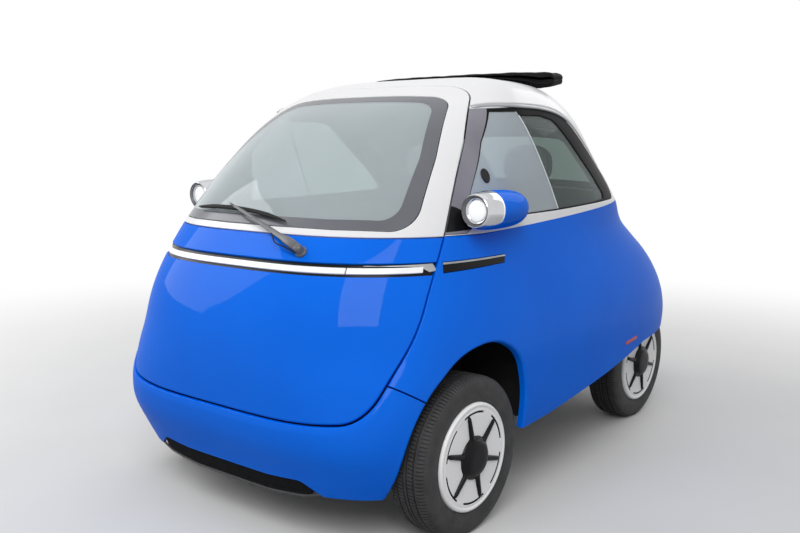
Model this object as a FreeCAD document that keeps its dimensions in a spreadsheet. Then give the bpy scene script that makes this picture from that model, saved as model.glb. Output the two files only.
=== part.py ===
import FreeCAD, Part
import math
import os

V = FreeCAD.Vector
doc = FreeCAD.newDocument("microcar")

# ---------------------------------------------------------------- driving sizes (mm)
sheet = doc.addObject("Spreadsheet::Sheet", "Sizes")
SIZES = [
    ("front_axle_y", -789.5),
    ("wheelbase", 1571),
    ("tyre_radius", 266.6),
    ("tyre_width", 145),
    ("rim_radius", 180),
    ("front_wheel_x", 632),
    ("rear_wheel_x", 488),
    ("wall", 35),
    ("glass_inset", 4),
    ("glass_depth", 10),
    ("shut_gap", 6),
    ("belt_z", 968),
    ("door_floor_z", 442),
    ("bar_low_z", 861),
    ("bar_high_z", 889),
    ("pod_x", 670),
    ("pod_y", 57),
    ("pod_z", 1047),
    ("pod_radius", 60),
    ("pod_length", 228),
    ("floor_z", 320),
    ("seat_top_z", 590),
    ("seat_y", 430),
    ("seat_width", 1000),
    ("wheel_tilt", 62),
]
for row, (alias, size) in enumerate(SIZES, start=1):
    sheet.set("A%d" % row, alias)
    sheet.set("B%d" % row, str(size))
    sheet.setAlias("B%d" % row, alias)
doc.recompute()
size = {alias: float(sheet.get(alias)) for alias, _ in SIZES}
FRONT = size["front_axle_y"]
REAR = FRONT + size["wheelbase"]
HUB = size["tyre_radius"]


def at(x, y, z):
    """A point given from the front axle line, on the ground, at mid width."""
    return V(x, y + FRONT, z)


# ---------------------------------------------------------------- small builders
def feature(name, shape):
    made = doc.addObject("Part::Feature", name)
    made.Label = name
    made.Shape = shape
    return made


def cut(name, base, tool):
    made = doc.addObject("Part::Cut", name)
    made.Label = name
    made.Base = base
    made.Tool = tool
    return made


def common(name, *pieces):
    made = doc.addObject("Part::MultiCommon", name)
    made.Label = name
    made.Shapes = list(pieces)
    return made


def fuse(name, *pieces):
    made = doc.addObject("Part::MultiFuse", name)
    made.Label = name
    made.Shapes = list(pieces)
    return made


def box(name, x0, x1, y0, y1, z0, z1):
    """A block between two corners, lengths from the front axle line."""
    made = doc.addObject("Part::Box", name)
    made.Label = name
    made.Length = x1 - x0
    made.Width = y1 - y0
    made.Height = z1 - z0
    made.Placement.Base = at(x0, y0, z0)
    return made


def rod(name, start, end, radius):
    """A round bar between two points."""
    made = doc.addObject("Part::Cylinder", name)
    made.Label = name
    made.Radius = radius
    made.Height = (end - start).Length
    turn = FreeCAD.Rotation(V(0, 0, 1), end - start)
    made.Placement = FreeCAD.Placement(start, turn)
    return made


def both_sides(name, piece):
    """The piece and its mirror image across the car's middle."""
    other = doc.addObject("Part::Mirroring", name + "_mirrored")
    other.Source = piece
    other.Normal = V(1, 0, 0)
    made = doc.addObject("Part::Compound", name)
    made.Label = name
    made.Links = [piece, other]
    return made


def rounded_outline(corners, place):
    """Closed wire of lines and corner arcs; corners are (u, v, radius)."""
    ends = []
    count = len(corners)
    for i in range(count):
        u, v, r = corners[i]
        before = corners[i - 1]
        after = corners[(i + 1) % count]
        a = V(before[0] - u, before[1] - v, 0)
        b = V(after[0] - u, after[1] - v, 0)
        a.normalize()
        b.normalize()
        half = 0.5 * a.getAngle(b)
        here = V(u, v, 0)
        if r <= 0:
            ends.append((here, None, here))
            continue
        back = r / math.tan(half)
        middle = a + b
        middle.normalize()
        top = here + middle * (r / math.sin(half) - r)
        ends.append((here + a * back, top, here + b * back))
    edges = []
    for i in range(count):
        first, top, last = ends[i]
        following = ends[(i + 1) % count][0]
        if top is not None:
            edges.append(Part.Arc(place(first), place(top), place(last)).toShape())
        if (following - last).Length > 0.01:
            edges.append(Part.makeLine(place(last), place(following)))
    return Part.Wire(edges)


def side_prism(name, corners, x0, x1):
    """Outline seen from the side (y, z, corner radius), extruded across the car."""
    wire = rounded_outline(corners, lambda p: at(x0, p.x, p.y))
    return feature(name, Part.Face(wire).extrude(V(x1 - x0, 0, 0)))


def plan_prism(name, corners, z0, z1):
    """Outline seen from above (x, y, corner radius), extruded upwards."""
    wire = rounded_outline(corners, lambda p: at(p.x, p.y, z0))
    return feature(name, Part.Face(wire).extrude(V(0, 0, z1 - z0)))


def cone(name, apex, corners, y_far, y_near):
    """Outline seen end on at y_far, drawn in towards the apex as far as y_near."""
    share = (y_near - apex.y) / (y_far - apex.y)
    far = rounded_outline(corners, lambda p: at(p.x, y_far, p.y))
    near = rounded_outline(corners, lambda p: at(
        apex.x + (p.x - apex.x) * share, y_near, apex.z + (p.y - apex.z) * share))
    return feature(name, Part.makeLoft([far, near], True, True))


# ---------------------------------------------------------------- body surface
def quarter(a, b, n):
    """Side arc, corner arc and end arc that stand in for one squared-off quarter."""
    slope = 0.5 ** (n - 1) / (1 - 0.5 ** n) ** ((n - 1) / n)
    turn_side = math.atan(slope * a / b)
    turn_end = math.atan(slope * b / a)
    c1, s1 = math.cos(turn_side), math.sin(turn_side)
    c2, s2 = math.cos(turn_end), math.sin(turn_end)
    out = V(1 / a, 1 / b, 0)
    out.normalize()
    reach = V(a, b, 0).dot(out) * 2 ** (-1 / n)
    small = 2.0
    large = max(a, b)
    for _ in range(40):
        r = 0.5 * (small + large)
        across = a - r * (c1 - s2)
        along = b - r * (c2 - s1)
        scale = (1 - c1) * (1 - c2) - s1 * s2
        side_r = (across * (1 - c2) - along * s2) / scale
        t1 = V(a - side_r * (1 - c1), side_r * s1, 0)
        corner = t1 - V(c1, s1, 0) * r
        if corner.dot(out) + r > reach:
            small = r
        else:
            large = r
    t2 = corner + V(s2, c2, 0) * r
    middle = 0.5 * (turn_side + math.pi / 2 - turn_end)
    peak = corner + V(math.cos(middle), math.sin(middle), 0) * r
    bow = 0.5 * turn_side
    side = V(a - side_r * (1 - math.cos(bow)), side_r * math.sin(bow), 0)
    return side, t1, peak, t2


def plan_section(z, w, front, rear, middle, n_front, n_rear):
    """One level outline of the body: ten arcs, the nose towards -Y."""
    f_mid, f_side, f_corner, f_end = quarter(w, middle - front, n_front)
    r_mid, r_side, r_corner, r_end = quarter(w, rear - middle, n_rear)

    def nose(p, mirror=1):
        return at(mirror * p.x, middle - p.y, z)

    def tail(p, mirror=1):
        return at(mirror * p.x, middle + p.y, z)

    right = at(-w, middle, z)
    left = at(w, middle, z)
    arcs = [
        (nose(f_end, -1), at(0, front, z), nose(f_end)),
        (nose(f_end), nose(f_corner), nose(f_side)),
        (nose(f_side), nose(f_mid), left),
        (left, tail(r_mid), tail(r_side)),
        (tail(r_side), tail(r_corner), tail(r_end)),
        (tail(r_end), at(0, rear, z), tail(r_end, -1)),
        (tail(r_end, -1), tail(r_corner, -1), tail(r_side, -1)),
        (tail(r_side, -1), tail(r_mid, -1), right),
        (right, nose(f_mid, -1), nose(f_side, -1)),
        (nose(f_side, -1), nose(f_corner, -1), nose(f_end, -1)),
    ]
    return Part.Wire([Part.Arc(*three).toShape() for three in arcs])


# level, half width, nose, tail, middle, squareness of nose and tail,
# then how much of the inset goes sideways and how much goes down
LEVELS = [
    (150, 676, -408, 1850, 331, 3.6, 3.3, 1.00, 0.0),
    (290, 711, -451, 1983, 331, 4.1, 3.4, 1.00, 0.0),
    (400, 722, -470, 2028, 331, 4.0, 3.4, 1.00, 0.0),
    (480, 724, -474, 2042, 331, 3.7, 3.5, 1.00, 0.0),
    (620, 720, -471, 2034, 331, 3.0, 3.2, 1.02, 0.0),
    (800, 683, -415, 1876, 331, 2.9, 3.0, 1.10, 0.1),
    (980, 643, -287, 1548, 331, 2.9, 3.0, 1.10, 0.3),
    (1160, 616, -104, 1374, 414, 2.8, 2.8, 1.00, 0.4),
    (1330, 573, 111, 1215, 492, 2.7, 2.6, 0.95, 0.6),
    (1430, 506, 316, 1043, 560, 2.6, 2.5, 0.75, 0.8),
    (1480, 385, 472, 915, 640, 2.5, 2.4, 0.40, 0.9),
    (1501, 190, 590, 800, 695, 2.4, 2.4, 0.10, 1.0),
]


def body_solid(name, inset, lengthen=0):
    wires = []
    for i, (z, w, front, rear, middle, nf, nr, sideways, down) in enumerate(LEVELS):
        drop = inset * down + (lengthen if i == 0 else 0)
        shrink = inset * sideways
        wires.append(plan_section(
            z - drop, w - shrink, front + shrink, rear - shrink, middle, nf, nr))
    return feature(name, Part.makeLoft(wires, True, False, False, 2))


wall = size["wall"]
outer = body_solid("body_outer", 0)
inner = body_solid("body_inner", wall, 20)
glass_front = body_solid("glass_front", size["glass_inset"], 10)
glass_back = body_solid("glass_back", size["glass_depth"], 20)
shell = cut("body_shell", outer, inner)
trim_skin = cut("trim_skin", outer, glass_back)
glass_skin = cut("glass_skin", glass_front, glass_back)

# ---------------------------------------------------------------- shut lines
gap = size["shut_gap"]
SEAT_GAP = 0.3
YOKE_LOW = 183
YOKE_HIGH = 352
REAR_STUB = size["rear_wheel_x"] + 24 - SEAT_GAP
DOOR_EYE = V(0, 1000, 800)
HATCH_EYE = V(0, 500, 900)
FAR_FRONT = -700
FAR_REAR = 2400


def seen_from(eye, y_far, points, grow):
    """Outline points on the body, carried out to y_far along lines from the eye."""
    corners = []
    for x, y, z, radius in points:
        share = (y_far - eye.y) / (y - eye.y)
        u = eye.x + (x - eye.x) * share
        v = eye.z + (z - eye.z) * share
        reach = math.hypot(u, v - eye.z)
        u = u * (1 + grow * share / reach)
        v = eye.z + (v - eye.z) * (1 + grow * share / reach)
        corners.append((u, v, radius * share))
    mirrored = [(-u, v, r) for u, v, r in reversed(corners)]
    return corners + mirrored


# right half of each outline from the top middle down (x, y, z, corner radius)
DOOR_EDGE = [
    (385, 395, 1452, 60),
    (516, 168, 1261, 250),
    (595, -31, 968, 900),
    (628, -200, 690, 400),
    (575, -388, 442, 150),
]
GLASS_EDGE = [
    (392, 275, 1415, 70),
    (495, 70, 1202, 250),
    (550, -110, 990, 90),
]
HATCH_EDGE = [
    (400, 1190, 1345, 70),
    (520, 1430, 1030, 300),
    (560, 1760, 860, 300),
    (560, 2010, 640, 90),
]
REAR_GLASS_EDGE = [
    (370, 1225, 1300, 70),
    (460, 1420, 1075, 80),
]
door_reach = cone("door_reach", DOOR_EYE, seen_from(DOOR_EYE, FAR_FRONT, DOOR_EDGE, 0),
                  FAR_FRONT, 520)
door_hole = cone("door_hole", DOOR_EYE, seen_from(DOOR_EYE, FAR_FRONT, DOOR_EDGE, gap),
                 FAR_FRONT, 560)
screen_hole = cone("screen_hole", DOOR_EYE,
                   seen_from(DOOR_EYE, FAR_FRONT, GLASS_EDGE, 0), FAR_FRONT, 520)
hatch_reach = cone("hatch_reach", HATCH_EYE,
                   seen_from(HATCH_EYE, FAR_REAR, HATCH_EDGE, 0), FAR_REAR, 1000)
hatch_hole = cone("hatch_hole", HATCH_EYE,
                  seen_from(HATCH_EYE, FAR_REAR, HATCH_EDGE, gap), FAR_REAR, 960)
hinge_reach = cone("hinge_reach", HATCH_EYE,
                   seen_from(HATCH_EYE, FAR_REAR, HATCH_EDGE, SEAT_GAP), FAR_REAR, 980)
rear_screen = cone("rear_screen", HATCH_EYE,
                   seen_from(HATCH_EYE, FAR_REAR, REAR_GLASS_EDGE, 0), FAR_REAR, 1000)

# ---------------------------------------------------------------- front door
belt = size["belt_z"]
below_belt = box("below_belt", -900, 900, -600, 600, 100, belt)
above_belt = box("above_belt", -900, 900, -600, 600, belt, 1600)
bar_band = box("bar_band", -900, 900, -600, 600, size["bar_low_z"], size["bar_high_z"])
front_light_bar = common("front_light_bar", trim_skin, door_reach, bar_band)
door_low = common("door_low", shell, door_reach, below_belt)
front_door_panel = cut("front_door_panel", door_low, front_light_bar)
door_high = common("door_high", shell, door_reach, above_belt)
door_frame = cut("door_frame", door_high, screen_hole)
windscreen = common("windscreen", glass_skin, screen_hole)

# ---------------------------------------------------------------- openings in the sides
BELT_SIDE = [(-300, 970, 0), (110, 970, 0), (371, 985, 0), (723, 1003, 0),
             (1300, 1030, 0), (2400, 1030, 0)]
above_side_belt = side_prism(
    "above_side_belt", BELT_SIDE + [(2400, 1700, 0), (-300, 1700, 0)], -900, 900)
below_side_belt = side_prism(
    "below_side_belt", BELT_SIDE + [(2400, 100, 0), (-300, 100, 0)], -900, 900)
WINDOW = [(-90, 972, 0), (60, 974, 20), (112, 1020, 20), (380, 1020, 0), (1010, 1040, 0),
          (1130, 1060, 45), (974, 1186, 400), (822, 1285, 300), (700, 1366, 120),
          (310, 1372, 25), (199, 1293, 0), (108, 1183, 0), (20, 1086, 0)]
SIDE_GLASS = [(122, 1034, 15), (380, 1034, 0), (1000, 1052, 60), (856, 1180, 300),
              (751, 1266, 250), (667, 1350, 90), (335, 1354, 20), (235, 1261, 0),
              (120, 1091, 0)]
window_hole = side_prism("window_hole", WINDOW, -900, 900)
side_glass_hole = side_prism("side_glass_hole", SIDE_GLASS, -900, 900)

FRONT_ARCH = [(-287, 60, 0), (-287, 375, 300), (-205, 505, 330), (-60, 617, 300),
              (110, 642, 220), (238, 572, 160), (280, 440, 300), (280, 60, 0)]
UNDERSIDE = [(270, 60, 0), (270, 293, 0), (460, 309, 0), (890, 368, 200),
             (1180, 412, 0), (1300, 430, 40), (1840, 430, 60), (1900, 350, 60),
             (2300, 350, 0), (2300, 60, 0)]
front_arch = side_prism("front_arch", FRONT_ARCH, -900, 900)
underside = side_prism("underside", UNDERSIDE, -900, 900)

# ---------------------------------------------------------------- roof, sides, bumpers
ROOF_OPENING = [(-385, 548, 60), (385, 548, 60), (385, 800, 30), (-385, 800, 30)]
roof_opening = plan_prism("roof_opening", ROOF_OPENING, 1300, 1700)
roof_band = common("roof_band", shell, above_side_belt)
roof_cutters = fuse("roof_cutters", door_hole, hatch_hole, window_hole, roof_opening)
roof_main = cut("roof_main", roof_band, roof_cutters)
hinge_zone = fuse(
    "hinge_zone",
    box("hinge_zone_left", 230, 270, 1000, 1300, 1290, 1420),
    box("hinge_zone_right", -270, -230, 1000, 1300, 1290, 1420),
)
hinge_blank = common("hinge_blank", shell, hinge_zone)
hinge_tabs = cut("hinge_tabs", hinge_blank, hinge_reach)
roof_shell = fuse("roof_shell", roof_main, hinge_tabs)

window_band = common("window_band", shell, window_hole)
window_cut = fuse("window_cut", door_hole, side_glass_hole)
window_frames = cut("window_frames", window_band, window_cut)
side_glass = common("side_glass", glass_skin, side_glass_hole)

BUMPER_SIDE = [(-700, 60, 0), (-172, 60, 0), (-172, 478, 0), (-262, 540, 0), (-700, 540, 0)]
BODY_SIDE = [(-166, 60, 0), (1660, 60, 0), (1660, 620, 0), (2500, 620, 0), (2500, 1100, 0),
             (-700, 1100, 0), (-700, 545, 0), (-262, 545, 0), (-166, 481, 0)]
bumper_reach = side_prism("bumper_reach", BUMPER_SIDE, -900, 900)
body_reach = side_prism("body_reach", BODY_SIDE, -900, 900)
rear_reach = box("rear_reach", -900, 900, 1664, 2500, 60, 616)
arch_and_door = fuse("arch_and_door", front_arch, door_hole)

grille_mouth = box("grille_mouth", -335, 335, -700, 0, 168, 212)
bumper_blank = common("bumper_blank", shell, bumper_reach)
bumper_cutters = fuse("bumper_cutters", arch_and_door, grille_mouth)
front_bumper = cut("front_bumper", bumper_blank, bumper_cutters)
bumper_grille = common("bumper_grille", trim_skin, grille_mouth)

rear_blank = common("rear_blank", shell, rear_reach)
wheel_space = fuse(
    "wheel_space",
    rod("wheel_space_left", at(402, 1571, HUB), at(574, 1571, HUB), HUB + 18),
    rod("wheel_space_right", at(-574, 1571, HUB), at(-402, 1571, HUB), HUB + 18),
)
rear_cutters = fuse("rear_cutters", underside, hatch_hole, wheel_space)
rear_bumper = cut("rear_bumper", rear_blank, rear_cutters)

trim_slot = box("trim_slot", -900, 900, -60, 215, 869, 899)
side_trim_blank = common("side_trim_blank", trim_skin, trim_slot)
side_trims = cut("side_trims", side_trim_blank, door_hole)
sides_blank = common("sides_blank", shell, body_reach, below_side_belt)
sides_cutters = fuse(
    "sides_cutters", arch_and_door, underside, hatch_hole, side_trims, wheel_space
)
sides = cut("sides", sides_blank, sides_cutters)
left_half = box("left_half", 0, 900, -700, 2500, 0, 1700)
right_half = box("right_half", -900, 0, -700, 2500, 0, 1700)
body_side_left = common("body_side_left", sides, left_half)
body_side_right = common("body_side_right", sides, right_half)

# ---------------------------------------------------------------- tailgate
above_tail_belt = box("above_tail_belt", -900, 900, 900, 2500, 1030, 1600)
below_tail_belt = box("below_tail_belt", -900, 900, 900, 2500, 100, 1030)
tail_bar_band = box("tail_bar_band", -900, 900, 900, 2500, 742, 776)
rear_light_bar = common("rear_light_bar", trim_skin, hatch_reach, tail_bar_band)
hatch_low = common("hatch_low", shell, hatch_reach, below_tail_belt)
hatch_panel = cut("hatch_panel", hatch_low, rear_light_bar)
hatch_high = common("hatch_high", shell, hatch_reach, above_tail_belt)
hatch_frame = cut("hatch_frame", hatch_high, rear_screen)
rear_glass = common("rear_glass", glass_skin, rear_screen)

# ---------------------------------------------------------------- folded cloth top
fold_low = side_prism("fold_low", [(762, 1430, 0), (930, 1486, 9), (930, 1504, 9),
                                   (762, 1508, 9)], -440, 440)
fold_top = side_prism("fold_top", [(785, 1503, 6), (928, 1501, 9), (922, 1521, 9),
                                   (795, 1521, 9)], -450, 450)
fold_stack = fuse("fold_stack", fold_low, fold_top)
soft_top = cut("soft_top", fold_stack, outer)

# ---------------------------------------------------------------- tub and wheel wells
floor_z = size["floor_z"]
floor_top = floor_z + 25
tub_plates = fuse(
    "tub_plates",
    box("floor_plate", -560, 560, -330, 1248, floor_z, floor_top),
    box("sill_left", 545, 560, 322, 1248, floor_z, 460),
    box("sill_right", -560, -545, 322, 1248, floor_z, 460),
    box("step_left", 545, 900, 322, 1248, 445, 460),
    box("step_right", -900, -545, 322, 1248, 445, 460),
    box("luggage_plate", -900, 900, 1228, 2300, 585, 605),
    box("seat_bulkhead", -900, 900, 1228, 1248, 445, 605),
    box("low_bulkhead", -560, 560, 1228, 1248, floor_z, 460),
    box("well_left", 410, 900, -345, 330, floor_z, 680),
    box("well_right", -900, -410, -345, 330, floor_z, 680),
    box("luggage_mat", -380, 380, 1262, 1600, 605, 609),
)
tub_inside = common("tub_inside", tub_plates, inner)
tub_cutters = fuse(
    "tub_cutters",
    box("well_space_left", 418, 900, -337, 322, 0, 672),
    box("well_space_right", -900, -418, -337, 322, 0, 672),
    box("door_swing_space", 484, 900, -350, -145, 663, 700),
)
chassis_tub = cut("chassis_tub", tub_inside, tub_cutters)

battery_pack = box("battery_pack", -330, 330, 500, 1010, 380, 500)
drive_motor = box("drive_motor", -150, 150, 1450, 1700, 190, 420)

front_axle = fuse(
    "front_axle",
    rod("front_beam", at(-520, 0, HUB), at(520, 0, HUB), 24),
    box("yoke_low_left", 500, 612, -22, 22, 162, YOKE_LOW),
    box("yoke_low_right", -612, -500, -22, 22, 162, YOKE_LOW),
    box("yoke_high_left", 500, 612, -22, 22, YOKE_HIGH, 372),
    box("yoke_high_right", -612, -500, -22, 22, YOKE_HIGH, 372),
    box("yoke_web_left", 500, 530, -22, 22, 162, 372),
    box("yoke_web_right", -530, -500, -22, 22, 162, 372),
    box("front_post_left", 330, 380, -45, 45, 230, floor_z),
    box("front_post_right", -380, -330, -45, 45, 230, floor_z),
)
rear_axle = fuse(
    "rear_axle",
    rod("rear_beam", at(-405, 1571, HUB), at(405, 1571, HUB), 30),
    rod("rear_stub", at(-REAR_STUB, 1571, HUB), at(REAR_STUB, 1571, HUB), 20),
    box("rear_arm_left", 300, 350, 1150, 1590, 236, 296),
    box("rear_arm_right", -350, -300, 1150, 1590, 236, 296),
    box("rear_mount_left", 300, 350, 1150, 1215, 236, floor_z),
    box("rear_mount_right", -350, -300, 1150, 1215, 236, floor_z),
)
rear_axle_clear = cut("rear_axle_clear", rear_axle, drive_motor)

# ---------------------------------------------------------------- cabin
seat_half = size["seat_width"] / 2
seat_top = size["seat_top_z"]
seat_y = size["seat_y"]
seat_cushion = box("seat_cushion", -seat_half, seat_half, seat_y, seat_y + 490,
                   seat_top - 90, seat_top)
seat_back = box("seat_back", -seat_half, seat_half, seat_y, seat_y + 80, 0, 500)
seat_back.Placement = FreeCAD.Placement(
    at(-seat_half, seat_y + 410, seat_top + 17), FreeCAD.Rotation(V(1, 0, 0), -12))
headrests = fuse(
    "headrests",
    box("headrest_left", 160, 370, seat_y + 520, seat_y + 600, 1085, 1250),
    box("headrest_right", -370, -160, seat_y + 520, seat_y + 600, 1085, 1250),
)
headrests_clear = cut("headrests_clear", headrests, seat_back)
seat_riser = box("seat_riser", -420, 420, seat_y + 40, seat_y + 600, floor_top, seat_top - 90)
seat_base = cut("seat_base", seat_riser, battery_pack)

COLUMN_X = 280
WHEEL_Y = 75
WHEEL_Z = 900
tilt = math.radians(size["wheel_tilt"])
TO_DRIVER = V(0, math.sin(tilt), math.cos(tilt))
wheel_centre = at(COLUMN_X, WHEEL_Y, WHEEL_Z)
steering_column = fuse(
    "steering_column",
    rod("column_head", wheel_centre - TO_DRIVER * 250, wheel_centre - TO_DRIVER * 30.3, 32),
    rod("column_post", at(COLUMN_X, -150, floor_top), at(COLUMN_X, -150, 790), 35),
    box("column_foot", COLUMN_X - 50, COLUMN_X + 50, -220, -80, floor_top, 400),
)

doc.recompute()


# ---------------------------------------------------------------- wheels
def turned_body(name, outline, centre, side):
    """A body turned about the axle; outline is (distance outwards, radius)."""
    body = doc.addObject("PartDesign::Body", name)
    body.Label = name
    plane = [f for f in body.Origin.OriginFeatures if f.Role == "XY_Plane"][0]
    sketch = body.newObject("Sketcher::SketchObject", name + "_profile")
    sketch.AttachmentSupport = [(plane, "")]
    sketch.MapMode = "FlatFace"
    count = len(outline)
    for i in range(count):
        u0, r0 = outline[i]
        u1, r1 = outline[(i + 1) % count]
        sketch.addGeometry(Part.LineSegment(V(side * u0, r0, 0), V(side * u1, r1, 0)))
    turned = body.newObject("PartDesign::Revolution", name + "_turned")
    turned.Profile = sketch
    turned.ReferenceAxis = (sketch, ["H_Axis"])
    turned.Angle = 360
    body.Tip = turned
    body.Placement.Base = centre
    return body


half = size["tyre_width"] / 2
bead = size["rim_radius"]
TYRE = [(-half + 8, bead), (half - 8, bead), (half, bead + 22), (half, HUB - 28),
        (half - 12, HUB - 6), (half - 30, HUB), (30 - half, HUB), (12 - half, HUB - 6),
        (-half, HUB - 28), (-half, bead + 22)]
RIM = [(-half + 6, bead), (-half + 6, bead - 12), (20, bead - 14), (30, bead - 34),
       (24, 60), (24, 0), (50, 0), (50, 62), (52, bead - 36), (half - 2, bead - 14),
       (half + 3, bead - 4), (half + 3, bead)]
WHEELS = [
    ("front_left", size["front_wheel_x"], FRONT, 1),
    ("front_right", -size["front_wheel_x"], FRONT, -1),
    ("rear_left", size["rear_wheel_x"], REAR, 1),
    ("rear_right", -size["rear_wheel_x"], REAR, -1),
]
wheel_pieces = []
for name, x, y, side in WHEELS:
    hub = V(x, y, HUB)
    tyre = turned_body("tyre_" + name, TYRE, hub, side)
    rim = turned_body("rim_" + name, RIM, hub, side)
    hub_disc = rod("cap_disc_" + name, hub + V(side * 50, 0, 0), hub + V(side * 84, 0, 0), 52)
    spokes = [hub_disc]
    for k in range(6):
        angle = math.radians(60 * k - 16)
        out = V(0, math.cos(angle), math.sin(angle))
        spokes.append(rod("cap_spoke_%s_%d" % (name, k),
                          hub + V(side * 64, 0, 0) + out * 40,
                          hub + V(side * 64, 0, 0) + out * 147, 8))
    cap = fuse("cap_" + name, *spokes)
    wheel_pieces += [tyre, rim, cap]

# ---------------------------------------------------------------- steering
KNUCKLE_X = 590
knuckles = []
for name, side in [("left", 1), ("right", -1)]:
    pin = rod("pin_" + name, at(side * KNUCKLE_X, 0, YOKE_LOW + SEAT_GAP),
              at(side * KNUCKLE_X, 0, YOKE_HIGH - SEAT_GAP), 20)
    stub = rod("stub_" + name, at(side * KNUCKLE_X, 0, HUB),
               at(side * (size["front_wheel_x"] + 24 - SEAT_GAP), 0, HUB), 22)
    arm = box("arm_" + name, min(side * 575, side * 605), max(side * 575, side * 605),
              -110, 0, 195, 215)
    knuckles.append(fuse("knuckle_" + name, pin, stub, arm))

RIM_TILT = size["wheel_tilt"]
ring_place = FreeCAD.Placement(wheel_centre, FreeCAD.Rotation(V(1, 0, 0), -RIM_TILT))
ring = doc.addObject("Part::Torus", "steering_ring")
ring.Radius1 = 170
ring.Radius2 = 13
ring.Placement = ring_place
boss = doc.addObject("Part::Cylinder", "steering_boss")
boss.Radius = 45
boss.Height = 40
boss.Placement = ring_place.multiply(FreeCAD.Placement(V(0, 0, -30), FreeCAD.Rotation()))
ring_parts = [ring, boss]
for k, turn in enumerate((0, 180, 270)):
    spoke = doc.addObject("Part::Box", "steering_spoke_%d" % k)
    spoke.Length = 140
    spoke.Width = 30
    spoke.Height = 12
    spin = FreeCAD.Placement(V(0, 0, -6), FreeCAD.Rotation(V(0, 0, 1), turn))
    shift = FreeCAD.Placement(V(32, -15, 0), FreeCAD.Rotation())
    spoke.Placement = ring_place.multiply(spin).multiply(shift)
    ring_parts.append(spoke)
steering_wheel = fuse("steering_wheel", *ring_parts)

# ---------------------------------------------------------------- lamp pods and wiper
pod_x = size["pod_x"]
pod_y = size["pod_y"]
pod_z = size["pod_z"]
pod_shell = rod("pod_shell", at(pod_x, pod_y, pod_z),
                at(pod_x, pod_y + size["pod_length"], pod_z), size["pod_radius"])
pod_shell.setExpression("Radius", "Sizes.pod_radius")
pod_shell.setExpression("Height", "Sizes.pod_length")
pod_foot = box("pod_foot", 560, 690, 60, 115, 995, 1040)
pod_arm = fuse("pod_arm", pod_shell, pod_foot)
pod_clear = cut("pod_clear", pod_arm, outer)
lamp_pods = both_sides("lamp_pods", pod_clear)
lens = rod("lamp_lens", at(pod_x, pod_y - 33, pod_z), at(pod_x, pod_y, pod_z), 46)
lamp_lenses = both_sides("lamp_lenses", lens)

wiper = fuse(
    "wiper",
    rod("wiper_pivot", at(255, -318, 926), at(255, -345, 926), 16),
    rod("wiper_arm", at(255, -338, 926), at(-138, -268, 1034), 7),
    rod("wiper_blade_in", at(-138, -258, 1032), at(137, -273, 1020), 8),
    rod("wiper_blade_out", at(-138, -258, 1032), at(-413, -198, 1040), 8),
)
wiper_clear = cut("wiper_clear", wiper, outer)

doc.recompute()

# ---------------------------------------------------------------- writing the pieces
PIECES = {
    "front_door_panel": front_door_panel,
    "door_frame": door_frame,
    "windscreen": windscreen,
    "front_light_bar": front_light_bar,
    "wiper": wiper_clear,
    "roof_shell": roof_shell,
    "window_frames": window_frames,
    "side_glass": side_glass,
    "side_trims": side_trims,
    "body_side_left": body_side_left,
    "body_side_right": body_side_right,
    "front_bumper": front_bumper,
    "bumper_grille": bumper_grille,
    "rear_bumper": rear_bumper,
    "soft_top": soft_top,
    "hatch_panel": hatch_panel,
    "hatch_frame": hatch_frame,
    "rear_glass": rear_glass,
    "rear_light_bar": rear_light_bar,
    "chassis_tub": chassis_tub,
    "battery_pack": battery_pack,
    "drive_motor": drive_motor,
    "front_axle": front_axle,
    "rear_axle": rear_axle_clear,
    "seat_cushion": seat_cushion,
    "seat_back": seat_back,
    "seat_base": seat_base,
    "headrests": headrests_clear,
    "steering_column": steering_column,
    "steering_wheel": steering_wheel,
    "knuckle_left": knuckles[0],
    "knuckle_right": knuckles[1],
    "lamp_pods": lamp_pods,
    "lamp_lenses": lamp_lenses,
}
for made in wheel_pieces:
    PIECES[made.Name] = made

os.makedirs("parts", exist_ok=True)
for made in doc.Objects:
    bad = "Invalid" in made.State or "Error" in made.State
    if bad:
        raise RuntimeError("could not be computed: " + made.Name)
for name, made in PIECES.items():
    shape = made.Shape
    if shape.isNull() or not shape.isValid() or not shape.Solids:
        raise RuntimeError("no valid solid in " + name)
    made.Label = name
    print(name, len(shape.Solids), round(shape.Volume / 1e6, 2),
          [round(v) for v in (shape.BoundBox.XMin, shape.BoundBox.XMax, shape.BoundBox.YMin,
                              shape.BoundBox.YMax, shape.BoundBox.ZMin, shape.BoundBox.ZMax)])
    shape.exportStep("parts/%s.step" % name)
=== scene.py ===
import bpy
import bmesh
import math
import numpy as np
from mathutils import Matrix, Vector
from mathutils.geometry import delaunay_2d_cdt

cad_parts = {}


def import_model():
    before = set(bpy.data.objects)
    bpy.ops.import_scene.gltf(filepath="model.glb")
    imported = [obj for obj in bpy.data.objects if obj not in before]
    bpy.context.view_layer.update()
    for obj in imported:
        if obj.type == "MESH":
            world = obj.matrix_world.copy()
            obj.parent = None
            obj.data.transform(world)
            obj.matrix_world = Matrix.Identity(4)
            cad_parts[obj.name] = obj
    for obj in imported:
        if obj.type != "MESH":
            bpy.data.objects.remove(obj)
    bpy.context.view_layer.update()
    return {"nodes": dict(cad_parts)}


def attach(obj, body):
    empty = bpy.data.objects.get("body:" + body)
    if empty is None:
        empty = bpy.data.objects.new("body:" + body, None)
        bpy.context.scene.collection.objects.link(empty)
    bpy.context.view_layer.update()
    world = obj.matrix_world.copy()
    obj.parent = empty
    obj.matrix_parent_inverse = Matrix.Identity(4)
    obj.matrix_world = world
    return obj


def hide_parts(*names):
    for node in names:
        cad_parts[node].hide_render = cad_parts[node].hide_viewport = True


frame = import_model()

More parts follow.
